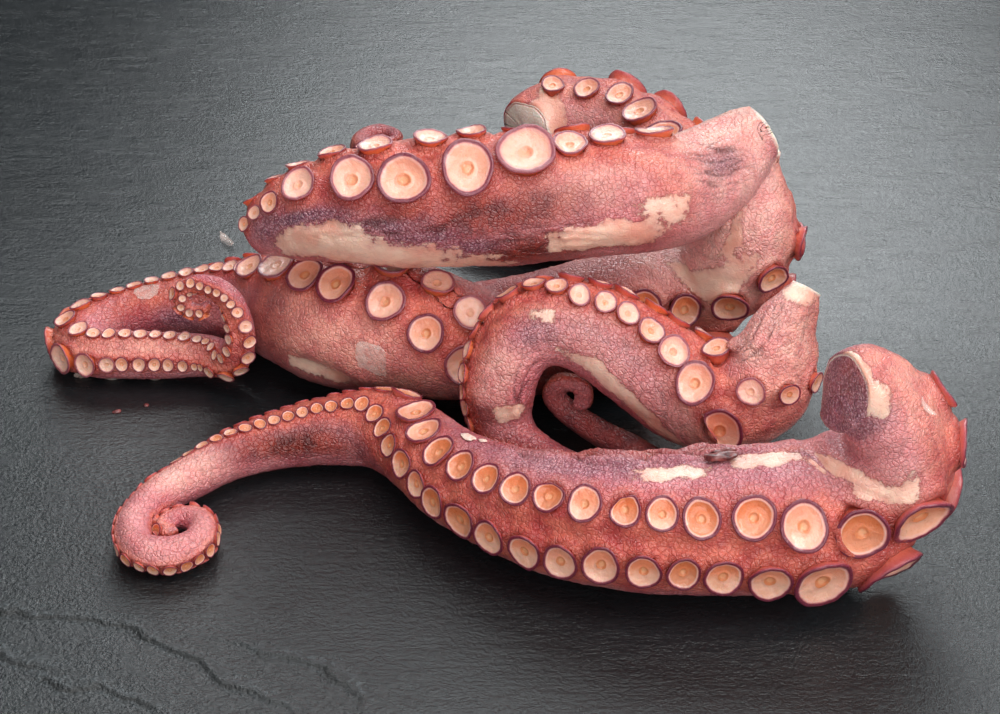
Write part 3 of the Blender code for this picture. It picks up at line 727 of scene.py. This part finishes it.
front = Arm(FRONT_ROUTE)
dressed_arm("front_arm", "front_arm", front, (
    sucker_row(front, (
        (0, 19, -34), (1, 26, -22), (2, 32.6, 11), (3, 43.5, 14), (4, 58.4, 18), (5, 67.7, 26),
        (6, 78.6, 27), (7, 86.1, 32), (8, 92.4, 35), (10, 107.7, 41), (12, 122.7, 40), (14, 138.8, 43),
        (16, 155.4, 57), (17, 164.7, 64), (18, 169.5, 46), (34, 226, 28), (58, 285, 24),
    ), ((0, 0.66), (27, 0.74), (32, 0.92))),
    sucker_row(front, (
        (0, 33, -72), (1, 44.6, -52), (2, 55.5, -30), (3, 64.8, -26), (4, 74.7, -21), (5, 82.6, -17),
        (7, 96.4, -13), (8, 104.1, -16), (10, 119, -14), (12, 135.3, -10), (14, 146.8, 3), (16, 160.4, 6),
        (18, 171.7, -6), (20, 180.1, -18), (26, 201.9, -24), (34, 230, -26), (57, 285, -24),
    ), ((0, 0.72), (44, 0.86), (60, 0.96))),
), 11, step=0.75, tones=(-0.5, 0.45),
    folded={8: folded_lip(-60, 0.40, 0.16), 10: folded_lip(-95, 0.25, 0.1)},
    lumps=((92, 97, 34, 14, 1.0), (150, 150, 10, 30, 0.8), (8, 60, 6, 30, 0.7), (214, -85, 12, 40, 0.6)),
    folds=((100, 98, 30, 15, 1.5), (76, 96, 12, 10, 0.8)),
    marks=(
        ("purple", 100, 78, 38, 15, 0.75), ("purple", 124, 64, 30, 20, 0.55),
        ("sealed", 0, 95, 9, 85, 1.0), ("purple", 72, 86, 5, 6, 1.0), ("purple", 52, 78, 9, 5, 0.75),
        ("purple", 2, 105, 7, 52, 0.8), ("purple", 60, 55, 24, 20, 0.35),
        # The dark mark along the fold's ridge is painted shade in its grooves.
        ("purple", 142, 80, 14, 14, 0.4), ("dark", 102, 100, 34, 9, 0.65), ("peel", 84, 70, 8, 9, 0.75),
        ("peel", 64, 76, 8, 9, 0.75), ("peel", 36, 86, 9, 15, 0.8), ("peel", 49, 68, 6, 7, 0.6),
        ("peel", 1.5, 46, 4, 26, 1.0), ("peel", 0, -10, 2.5, 40, 0.9), ("skinned", 0, 0, 9, 900, 1.0),
        ("purple", -1, 0, 3, 900, 0.85), ("warm", 73, 86, 4, 5, 1.0), ("warm", 58, 82, 6, 6, 0.8),
        ("warm", 100, 96, 22, 6, 0.5), ("pale", 10, 20, 12, 60, 0.5), ("pale", 34, 70, 20, 44, 0.45),
        # The dark marks on the tail are painted shade on its shaded side.
        ("peel", 30, 62, 8, 16, 0.7), ("dark", 192, -78, 20, 34, 1.0), ("dark", 168, -75, 14, 34, 0.6),
        ("pale", 221, -85, 12, 60, 1.0), ("pale", 262, -85, 30, 60, 0.4),
    ))

# ---- Left arm ----
# A thicker, shorter cut piece to the left; its thin end doubles back on itself in a loop and ends
# in a small coil that stands against the bend.
LEFT_ROUTE = (
    (38, -48.5, 12.2, 9.6, 1.0, (0.0, -0.2, 1.0)),
    (26, -50, 13.0, 11.0, 1.0, (0.0, -0.3, 1.0)),
    (12, -52, 13.8, 12.2, 1.0, (0.0, -0.5, 0.8)),
    (-2, -53.5, 15.0, 13.4, 1.0, (0.0, -0.75, 0.6)),
    (-12, -53, 16.4, 15.4, 1.0, (0.0, -0.75, 0.66)),
    (-24, -49, 17.3, 16.8, 1.0, (0.0, -0.45, 0.9)),
    (-40, -46, 16.8, 16.2, 1.0, (0.0, -0.2, 1.0)),
    (-52, -37, 15.3, 14.7, 1.0, (0.0, 0.0, 1.0)),
    (-64, -27, 12.2, 11.6, 1.0, (0.0, 0.3, 1.0)),
    (-79, -24, 9.6, 8.8, 1.0, (-0.1, 0.6, 0.8)),
    (-93, -26, 8.0, 7.4, 1.0, (-0.3, 0.7, 0.7)),
    (-104, -31, 7.3, 6.7, 1.0, (-0.7, 0.4, 0.6)),
    (-108, -38, 7.0, 6.4, 1.0, (-1.0, -0.3, 0.5)),
    (-104, -44, 6.9, 6.2, 1.0, (-0.3, -0.7, 0.75)),
    (-95, -45, 6.9, 6.1, 1.0, (0.0, -0.63, 0.78)),
    (-84, -45, 6.8, 5.9, 1.0, (0.0, -0.63, 0.78)),
    (-75, -46, 7.2, 5.4, 1.0, (0.1, -0.75, 0.7)),
    (-68.5, -50, 8.8, 4.6, 1.0, (0.0, -1.0, 0.4)),
    (-65.5, -52, 13.5, 4.0, 1.0, (0.0, -1.0, 0.3)),
    (-65, -51, 19.5, 3.5, 1.0, (-0.2, -1.0, 0.1)),
    (-67.5, -48, 25.0, 3.1, 1.0, (-0.4, -0.9, -0.2)),
    (-72, -46, 27.8, 2.7, 1.0, (0.0, -0.9, -0.5)),
    (-77.5, -45, 27.4, 2.3, 1.0, (-0.2, -1.0, 0.0)),
    (-80, -46, 23.6, 2.0, 1.0, (-0.6, -0.8, -0.3)),
    (-76, -47, 21.2, 1.7, 1.0, (0.0, -0.8, -0.6)),
    (-72.6, -47, 23.4, 1.2, 1.0, (0.6, -0.8, 0.0)),
)
left = Arm(LEFT_ROUTE)
dressed_arm("left_arm", "left_arm", left, (
    sucker_row(left, (
        (0, 8, -20), (3, 46.6, -26), (4, 53.1, -13), (5, 65.3, -15), (6, 77, -12), (7, 83.9, -15),
        (8, 93.4, -18), (9, 103, -30), (11, 114, -30), (19, 151, -34), (22, 166, -38), (30, 197, -32),
        (38, 221, -38), (49, 247, -38),
    ), ((0, 0.66), (46, 0.76), (71, 0.80), (79, 0.96))),
    sucker_row(left, (
        (0, 10, 20), (3, 47.1, 21), (4, 54.8, 31), (5, 65.7, 24), (6, 79.7, 34), (8, 95, 30),
        (12, 113, 30), (20, 151, 34), (23, 166, 38), (31, 197, 44), (39, 221, 40), (50, 247, 38),
    ), ((0, 0.66), (46, 0.74), (71, 0.80), (87, 0.96))),
), 12, tones=(0.3, 1.1), proud=0.12,
    lumps=((79, -96, 4, 10, -1.6), (72, -92, 4, 12, 0.9), (101, -60, 8, 30, -0.8)),
    marks=(
        ("warm", 71, -62, 26, 46, 0.95), ("warm", 53, 60, 14, 40, 0.6), ("dark", 91, -70, 7, 40, 0.6),
        ("dark", 81, -116, 14, 12, 0.3), ("peel", 79, -100, 7, 10, 0.7), ("pale", 70, -66, 22, 40, 0.6),
        # The dark mark over the base end is painted shade: it lies in deep shadow under the middle arm's
        # arch.
        ("dark", 16, -40, 22, 180, 1.0), ("warm", 137, -80, 18, 34, 0.8),
        ("purple", 131, -125, 8, 26, 0.9), ("purple", 221, -100, 12, 70, 0.6),
        ("pale", 184, 0, 20, 24, 0.55),
    ))

# ---- Upper pair ----
# Two arms still joined by the web at their base: one lies over the heap, suckers up; the other
# stands at the right, turns under and runs off below the heap.
TOP_ROUTE = (
    (67, -22, 59.5, 7.4, 0.9, (0.4, 0.2, 0.9)),
    (63, -23, 57.4, 9.4, 0.9, (0.4, 0.2, 0.9)),
    (58, -26, 54.6, 11.2, 0.9, (0.3, 0.1, 1.0)),
    (52, -31, 52.0, 12.6, 0.95, (0.2, 0.1, 1.0)),
    (45, -37, 50.6, 13.4, 1.0, (0.1, 0.1, 1.0)),
    (36, -42, 51.6, 14.2, 1.0, (0.0, 0.1, 1.0)),
    (22, -44, 52.2, 15.0, 1.0, (0.0, 0.1, 1.0)),
    (5, -46, 52.2, 15.8, 1.0, (0.0, 0.0, 1.0)),
    (-10, -47, 52.3, 16.0, 1.0, (0.0, -0.1, 1.0)),
    (-24, -48, 52.0, 15.4, 1.0, (0.0, -0.15, 1.0)),
    (-39, -47, 50.0, 13.4, 1.0, (0.0, -0.1, 1.0)),
    (-52, -44, 45.6, 10.2, 1.0, (-0.2, -0.1, 1.0)),
    (-61, -42, 39.8, 5.2, 1.0, (-0.5, -0.1, 0.8)),
)
RIGHT_ROUTE = (
    (66, -22, 56.4, 6.4, 0.9, (1.0, 0.0, 0.2)),
    (63.5, -22, 51.0, 8.6, 0.95, (1.0, 0.0, 0.1)),
    (62.5, -24, 43.0, 11.4, 1.0, (1.0, -0.1, 0.1)),
    (63, -26, 34.0, 13.0, 1.0, (1.0, -0.3, -0.1)),
    (59, -25, 21.5, 13.4, 1.0, (0.6, -0.6, -0.4)),
    (50, -23, 14.0, 13.2, 1.0, (0.1, -0.8, -0.25)),
    (34, -25, 13.2, 12.4, 1.0, (0.0, -0.9, -0.1)),
    (20, -26, 11.6, 10.8, 1.0, (0.0, -1.0, 0.2)),
    (7, -24, 9.2, 8.4, 1.0, (0.0, -1.0, 0.2)),
    (-6, -21, 7.2, 6.4, 1.0, (0.0, -1.0, 0.2)),
    (-18, -18, 5.4, 4.6, 1.0, (0.0, -1.0, 0.2)),
    (-28, -15, 4.0, 3.0, 1.0, (0.0, -1.0, 0.2)),
    (-35, -13, 3.0, 1.4, 1.0, (0.0, -1.0, 0.2)),
)
top = Arm(TOP_ROUTE)
dressed_arm("top_arm", "upper_pair", top, (
    sucker_row(top, (
        (0, 36.8, 12), (1, 49.7, -3), (2, 58.9, -15), (3, 69.9, -21), (4, 83.7, -30), (5, 97.8, -33),
        (6, 108.4, -30), (7, 119.6, -26), (8, 127.4, -33), (10, 137, -30),
    ), ((0, 0.62), (58, 0.80), (70, 1.14), (84, 0.92), (98, 0.92), (108, 0.86), (130, 0.7))),
    sucker_row(top, (
        (0, 44, 46), (1, 56, 38), (2, 70, 30), (3, 82, 22), (4, 92, 12), (5, 104, 12), (6, 114, 20),
        (7, 123, 26), (9, 135, 26),
    ), ((0, 0.7), (90, 0.72), (135, 0.66))),
), 13, proud=0.12, tones=(0.45, 1.2),
    lumps=((70, -112, 20, 22, 0.8), (40, -75, 6, 40, 1.2), (22, -50, 6, 30, -1.0), (52, -100, 8, 14, 0.8)),
    folds=((102, -74, 22, 12, 0.5), (66, -100, 14, 16, 0.5), (24, -40, 10, 40, 0.3)),
    marks=(
        ("peel", 118, -94, 13, 24, 1.0), ("peel", 104, -112, 16, 20, 0.95),
        ("peel", 88, -134, 14, 24, 0.9), ("purple", 119, -62, 12, 10, 1.0),
        ("purple", 106, -74, 11, 8, 1.0), ("purple", 95, -86, 10, 8, 0.9),
        ("purple", 84, -100, 9, 9, 0.9), ("purple", 130, -60, 6, 30, 0.9),
        # The dark marks are painted shade on the front and lower flank, darker towards the bottom.
        ("dark", 74, -112, 20, 24, 1.0), ("dark", 86, -62, 26, 22, 0.45), ("dark", 58, -116, 16, 12, 0.9),
        ("peel", 52, -106, 13, 15, 1.0), ("peel", 40, -84, 5, 16, 0.6), ("warm", 38, -60, 5, 50, 0.7),
        ("warm", 70, -45, 40, 20, 0.5), ("purple", 22, -42, 8, 20, 0.8), ("pale", 12, -10, 26, 120, 0.9),
        ("pale", 30, 20, 12, 40, 0.6), ("dark", 78, -72, 24, 20, 0.9), ("pale", 56, -60, 16, 26, 0.6),
    ))
right = Arm(RIGHT_ROUTE)
dressed_arm("right_arm", "upper_pair", right, (
    sucker_row(right, (
        (0, 24, -3), (1, 29.2, 33), (2, 37.7, 42), (3, 53.7, 24), (5, 74, 24), (19, 130, 26),
    ), ((0, 0.62), (60, 0.85))),
    sucker_row(right, (
        (0, 27, -34), (1, 36, -32), (3, 60, -30), (18, 130, -26),
    ), ((0, 0.62), (60, 0.85))),
), 14, step=0.85, proud=0.2, tones=(-0.4, 0.3),
    lumps=((21, 90, 2.5, 8, 0.7), (30, 60, 8, 20, 0.6), (8, 112, 12, 6, 1.2)),
    marks=(
        # The pale patch and the peels by the bend are partly a painted highlight of glare on the wet skin;
        # the dark mark further on is painted shade.
        ("pale", 34, 85, 44, 70, 1.0), ("peel", 40, 74, 15, 20, 0.95), ("peel", 22, 96, 6, 9, 0.7),
        ("peel", 8, 114, 11, 9, 0.8), ("warm", 16, 112, 6, 8, 0.5), ("warm", 26, 30, 8, 20, 0.5),
        ("dark", 100, 90, 34, 90, 0.6), ("purple", 130, 60, 20, 90, 0.4),
    ))

# ---- Middle arm ----
# A shorter arm that stands on its cut end at the right, arches over the front arm's back and
# comes down on its thin end.
MIDDLE_ROUTE = (
    (72, -76, 44.4, 4.8, 0.7, (0.9, -0.5, 0.2)),
    (70, -78, 41.0, 7.8, 0.65, (0.8, -0.6, 0.1)),
    (67, -80, 36.0, 10.6, 0.68, (0.8, -0.6, 0.1)),
    (65, -82, 30.0, 12.6, 0.75, (0.7, -0.7, 0.1)),
    (61, -85, 23.0, 13.4, 0.8, (0.4, -0.9, 0.2)),
    (53, -85, 19.2, 13.4, 0.9, (0.2, -0.8, 0.5)),
    (44, -82, 20.5, 12.6, 1.0, (0.3, -0.5, 0.8)),
    (34, -79, 26.0, 11.8, 1.0, (0.4, -0.25, 0.9)),
    (25, -76, 31.0, 11.0, 1.0, (0.4, -0.1, 1.0)),
    (15, -75, 34.0, 10.2, 1.0, (0.0, -0.05, 1.0)),
    (6, -76, 32.0, 9.6, 1.0, (-0.6, -0.05, 0.8)),
    (1, -79, 24.5, 9.0, 1.0, (-1.0, -0.1, 0.3)),
    (0, -80, 16.0, 8.2, 1.0, (-1.0, -0.1, 0.0)),
    (2, -83, 8.6, 6.6, 1.0, (-1.0, -0.2, -0.2)),
    (10, -90, 5.8, 5.2, 1.0, (-0.6, -0.6, 0.2)),
    (21, -96, 5.0, 4.4, 1.0, (0.0, -0.8, 0.4)),
    (31, -97, 4.6, 4.0, 1.0, (0.3, -0.8, 0.4)),
    (37, -92, 4.4, 3.8, 1.0, (0.9, -0.2, 0.4)),
    (33, -86, 4.6, 3.6, 1.0, (0.5, 0.7, 0.4)),
    (25, -80.5, 6.2, 3.4, 1.0, (0.3, 0.8, 0.5)),
    (17, -76, 9.5, 3.1, 1.0, (0.0, 0.9, 0.4)),
    (13, -74.5, 14.0, 2.8, 1.0, (-0.8, 0.4, 0.4)),
    (15, -75.5, 18.2, 2.4, 1.0, (-0.2, 0.0, 1.0)),
    (20, -77, 17.6, 2.1, 1.0, (1.0, 0.0, 0.3)),
    (20.5, -77.5, 13.6, 1.8, 1.0, (0.8, 0.0, -0.6)),
    (17.6, -77.5, 13.4, 1.3, 1.0, (-0.6, 0.0, -0.6)),
)
middle = Arm(MIDDLE_ROUTE)
dressed_arm("middle_arm", "middle_arm", middle, (
    sucker_row(middle, (
        (0, 34.6, -26), (1, 41.3, -15), (2, 53.1, -18), (3, 59.6, -18), (4, 65.8, -18), (5, 71.1, -16),
        (6, 75.9, -15), (7, 79.1, 0), (8, 82.4, 16), (9, 86, 18), (10, 89, 22), (11, 92.2, 18),
        (12, 95.6, 3), (13, 99, -8), (20, 124, -14), (22, 131, -14),
    ), ((0, 0.84), (60, 1.0))),
    sucker_row(middle, (
        (0, 19.5, -26), (1, 23, 4), (2, 26.2, 30), (3, 34, 62), (4, 46.2, 51), (5, 54.9, 41),
        (6, 61.5, 36), (7, 67.3, 32), (8, 72.4, 30), (9, 77, 34), (10, 81, 44), (12, 88, 50),
        (15, 99, 40), (22, 124, 30), (24, 131, 28),
    ), ((0, 0.60), (30, 0.62), (46, 0.9), (60, 1.0))),
), 15, step=0.7, proud=0.2, tones=(0.15, 1.05), folded={0: folded_lip(20, 0.80, 0.40)}, wrinkle=1.3,
    lumps=((82, -42, 2.5, 14, 0.7), (14, 84, 3, 30, 0.8), (104, -90, 4, 60, 0.8)),
    folds=((96, -110, 12, 18, 0.5), (14, 84, 12, 24, 0.35)),
    marks=(
        ("purple", 66, -52, 20, 20, 0.4), ("purple", 84, -62, 6, 26, 0.7), ("pale", 97, -66, 9, 34, 0.8),
        ("pale", 36, -60, 12, 26, 1.0), ("peel", 56, -98, 24, 13, 0.8), ("peel", 106, -98, 4, 26, 0.9),
        ("peel", 82, -42, 3, 12, 0.55), ("pale", 60, -60, 34, 40, 0.5), ("pale", 12, 60, 16, 90, 0.9),
        ("warm", 34, -20, 12, 40, 0.5), ("warm", 24, 20, 10, 40, 0.6), ("dark", 106, -60, 5, 110, 0.7),
        # The dark mark over the tail is painted shade: the tail lies in shadow.
        ("peel", 1, 60, 3, 60, 0.8), ("dark", 160, 0, 48, 900, 0.75),
    ))

# ---- Back arm ----
# An arm behind the heap: its cut end shows over the others, and it runs under them to a small
# curl at the back left.
BACK_ROUTE = (
    (8, 74, 11.5, 9.4, 0.9, (0.0, 0.2, 1.0)),
    (14, 80, 12.0, 11.0, 1.0, (0.0, 0.2, 1.0)),
    (25, 81, 12.4, 11.8, 1.0, (0.1, 0.1, 1.0)),
    (37, 74, 12.2, 11.6, 1.0, (0.2, 0.0, 1.0)),
    (47, 61, 11.6, 11.0, 1.0, (0.5, -0.2, 0.9)),
    (51, 45, 10.8, 10.2, 1.0, (0.7, -0.4, 0.6)),
    (48, 29, 10.0, 9.4, 1.0, (0.8, -0.5, 0.4)),
    (39, 19, 8.8, 8.2, 1.0, (0.3, -0.8, 0.5)),
    (20, 16, 7.6, 7.0, 1.0, (-0.2, -0.8, 0.6)),
    (-4, 28, 6.4, 5.8, 1.0, (-0.4, -0.5, 0.8)),
    (-24, 49, 5.2, 4.6, 1.0, (-0.6, -0.3, 0.8)),
    (-37, 67, 4.4, 3.7, 1.0, (-0.8, 0.0, 0.6)),
    (-42, 79, 4.2, 3.1, 1.0, (-1.0, 0.3, 0.3)),
    (-37, 86, 4.6, 2.6, 1.0, (0.0, 1.0, 0.3)),
    (-31, 82, 5.0, 2.0, 1.0, (1.0, 0.0, 0.3)),
    (-34, 77, 5.0, 1.4, 1.0, (0.0, -1.0, 0.0)),
)
back = Arm(BACK_ROUTE)
dressed_arm("back_arm", "back_arm", back, (
    sucker_row(back, (
        (0, 10.2, 21), (1, 22.5, 30), (2, 34.1, 24), (3, 45.4, 39), (4, 62, 62), (6, 84, 40),
        (22, 198, 26),
    ), ((0, 0.68), (60, 0.9))),
    sucker_row(back, (
        (0, 14, -66), (3, 52, -60), (6, 84, -26), (22, 198, -26),
    ), ((0, 0.6), (60, 0.9))),
), 16, step=1.0, sides=96, proud=0.15, tones=(0.3, 1.0),
    marks=(
        ("pale", 30, 70, 40, 60, 0.5), ("peel", 2, 70, 9, 60, 1.0), ("dark", 215, 0, 26, 900, 0.5),
    ))

# ---- Loose bits ----
# What boiling and cutting leave about: a flake of clear jelly, curled shreds of skin, crumbs of
# flesh and drips of liquor. They are too small to have solids of their own.
def wet_scrap(name, low, high, clear):
    """A wet scrap's material: its darker and paler colour and how clear it is."""
    paint = Paint(name)
    specks = paint.noise(0.0012, 4.0, 0.6)
    paint.set("Base Color", paint.blend(paint.level(specks, 0.35, 0.65), low, high))
    paint.set("Roughness", 0.14 + 0.30 * (1 - clear))
    paint.set("IOR", 1.37)
    paint.set("Alpha", 1 - clear)
    paint.set("Coat Weight", 0.5)
    paint.set("Coat Roughness", 0.06)
    paint.bump(specks, 0.0003, 0.5)
    return paint.material


def scrap(name, lie, length, breadth, thickness, material, seed, squareness=2.0, curl=0.0):
    """A lumpy scrap draped over what is under it.

    lie gives the point and the way up at two distances from the scrap's middle; curl lifts its
    ends; squareness is 2 for an oval and more for a squarer outline.
    """
    bm = bmesh.new()
    bmesh.ops.create_icosphere(bm, subdivisions=5, radius=1.0)
    ball = np.array([vert.co for vert in bm.verts])
    around = np.linalg.norm(ball[:, :2], axis=1) + 1e-9
    lame = (np.abs(ball[:, 0]) ** squareness + np.abs(ball[:, 1]) ** squareness) ** (1 / squareness) + 1e-9
    outline = around / lame * (1 + 0.22 * ripple(ball, 0.8, seed) + 0.10 * ripple(ball, 0.3, seed + 4))
    a, b = ball[:, 0] * outline * length / 2, ball[:, 1] * outline * breadth / 2
    pleats = 0.5 * ripple(np.stack((a, b, 0 * a), 1), 1.8, seed + 7)
    height = thickness * (0.5 + 0.5 * ball[:, 2] + 0.5 * pleats) + curl * (2 * a / length) ** 2
    point, way_up = lie(a, b)
    for vert, place in zip(bm.verts, (point + way_up * height[:, None]).tolist()):
        vert.co = place
    finished(name, bm, material)


def on_arm(arm, s, degrees):
    """The skin of an arm about a place on it."""
    width = arm.read(np.array([s]))[4][0]
    return lambda a, b: arm.surface(s + a, math.radians(degrees) + b / width)


RIVEN_FACE = BOARD_TOP - 0.35    # a little under the riven face, so that no scrap floats over it


def on_board(x, y, degrees):
    """The board about a place on it, with the scrap's long way turned by so many degrees."""
    c, w = math.cos(math.radians(degrees)), math.sin(math.radians(degrees))
    up = np.array((0.0, 0.0, 1.0))

    def lie(a, b):
        return np.stack((x + a * c - b * w, y + a * w + b * c, RIVEN_FACE + 0 * a), 1), up
    return lie


JELLY = wet_scrap("set_cooking_jelly", "#f6d5c8", "#fdf0e8", 0.75)
SHRED = wet_scrap("boiled_skin_shred", "#47161a", "#7d3836", 0.0)
FLESH = wet_scrap("boiled_flesh_crumb", "#e0b8a8", "#f4ddd0", 0.0)
scrap("jelly_flake", on_arm(left, 67.5, -66), 9.0, 8.0, 0.9, JELLY, 1.0, squareness=4)
scrap("jelly_bend", on_arm(left, 139, -62), 7.0, 4.5, 0.9, JELLY, 2.0)
scrap("jelly_on_slate", on_board(-77, 26, -60), 7.5, 2.4, 1.6, JELLY, 3.0, curl=0.9)
scrap("jelly_at_cut", on_arm(front, 13, 20), 4.5, 1.6, 0.8, JELLY, 4.0, curl=1.0)
scrap("skin_roll", on_arm(front, 73, 82), 7.5, 3.2, 1.6, SHRED, 6.0, curl=0.3)
scrap("skin_roll_upper", on_arm(front, 72, 90), 5.5, 1.8, 1.4, SHRED, 7.0)
scrap("flesh_shred", on_arm(front, 137, 82), 4.5, 2.4, 0.8, FLESH, 8.0)
scrap("flesh_crumb", on_arm(front, 133, 88), 2.4, 1.6, 0.7, FLESH, 9.0)
scrap("skin_crumb_a", on_board(-96, -61, 20), 2.2, 1.4, 0.9, SHRED, 10.0)
scrap("skin_crumb_b", on_board(-89, -58, 70), 1.7, 1.2, 0.8, SHRED, 11.0)
for number, (x, y) in enumerate(((-107, -44), (-99, -45), (-88, -45))):
    scrap("liquor_drip_%d" % number, on_board(x, y, 10), 5.0, 2.4, 1.8, JELLY, 12.0 + number)


# ---- Floor, light and camera ----
# Plain pale floor, a wide soft window light from behind, and soft fill from the front.
def build_stage():
    bm = bmesh.new()
    bmesh.ops.create_grid(bm, x_segments=1, y_segments=1, size=3000)
    paint = Paint("pale_floor_paper")
    paint.set("Base Color", "#bcbcba")
    paint.set("Roughness", 0.9)
    bmesh.ops.scale(bm, vec=(MM, MM, MM), verts=bm.verts)
    mesh = bpy.data.meshes.new("floor")
    bm.to_mesh(mesh)
    bm.free()
    mesh.materials.append(paint.material)
    floor = bpy.data.objects.new("floor", mesh)
    bpy.context.collection.objects.link(floor)


def softbox(name, place, target, size, power, colour, shape="RECTANGLE"):
    lamp = bpy.data.lights.new(name, "AREA")
    lamp.shape = shape
    lamp.size, lamp.size_y = size
    lamp.energy = power
    lamp.color = colour
    holder = bpy.data.objects.new(name, lamp)
    holder.location = place
    holder.rotation_euler = (Vector(target) - Vector(place)).to_track_quat("-Z", "Y").to_euler()
    bpy.context.collection.objects.link(holder)


build_stage()
DAYLIGHT = (0.93, 0.98, 1.0)
WARM, MILD, SOFT = (1.0, 0.98, 0.96), (1.0, 0.99, 0.97), (1.0, 0.99, 0.98)
softbox("window", (0.11, 0.95, 0.56), (0.11, 0.0, 0.56), (0.60, 0.46), 4.0, DAYLIGHT, "ELLIPSE")
softbox("window_high", (0.0, 0.95, 1.10), (0.0, 0.0, 1.10), (1.3, 0.8), 10.5, DAYLIGHT, "ELLIPSE")
softbox("window_right", (0.60, 0.95, 0.85), (0.60, 0.0, 0.85), (0.5, 0.8), 2.8, DAYLIGHT, "ELLIPSE")
softbox("top_fill", (0.10, -0.15, 1.05), (0, -0.03, 0.02), (0.8, 0.6), 7.2, MILD)
softbox("side_fill", (0.85, -0.45, 0.70), (0.03, 0, 0.03), (0.6, 0.5), 7.5, SOFT)
softbox("front_fill", (0.00, -1.0, 0.45), (0, -0.05, 0.03), (0.9, 0.6), 6.0, WARM)
world = bpy.data.worlds.new("studio")
world.use_nodes = True
world.node_tree.nodes["Background"].inputs["Color"].default_value = (0.55, 0.58, 0.60, 1)
world.node_tree.nodes["Background"].inputs["Strength"].default_value = 0.14
bpy.context.scene.world = world
bpy.context.scene.view_settings.view_transform = "Standard"

lens = bpy.data.cameras.new("camera")
lens.lens = 85
lens.sensor_width = 36
camera = bpy.data.objects.new("camera", lens)
aim = Vector((0, -35 * MM, 6 * MM))
elevation = math.radians(32)
camera.location = aim + Vector((0, -math.cos(elevation), math.sin(elevation))) * 614 * MM
camera.rotation_euler = (aim - camera.location).to_track_quat("-Z", "Y").to_euler()
bpy.context.collection.objects.link(camera)
bpy.context.scene.camera = camera
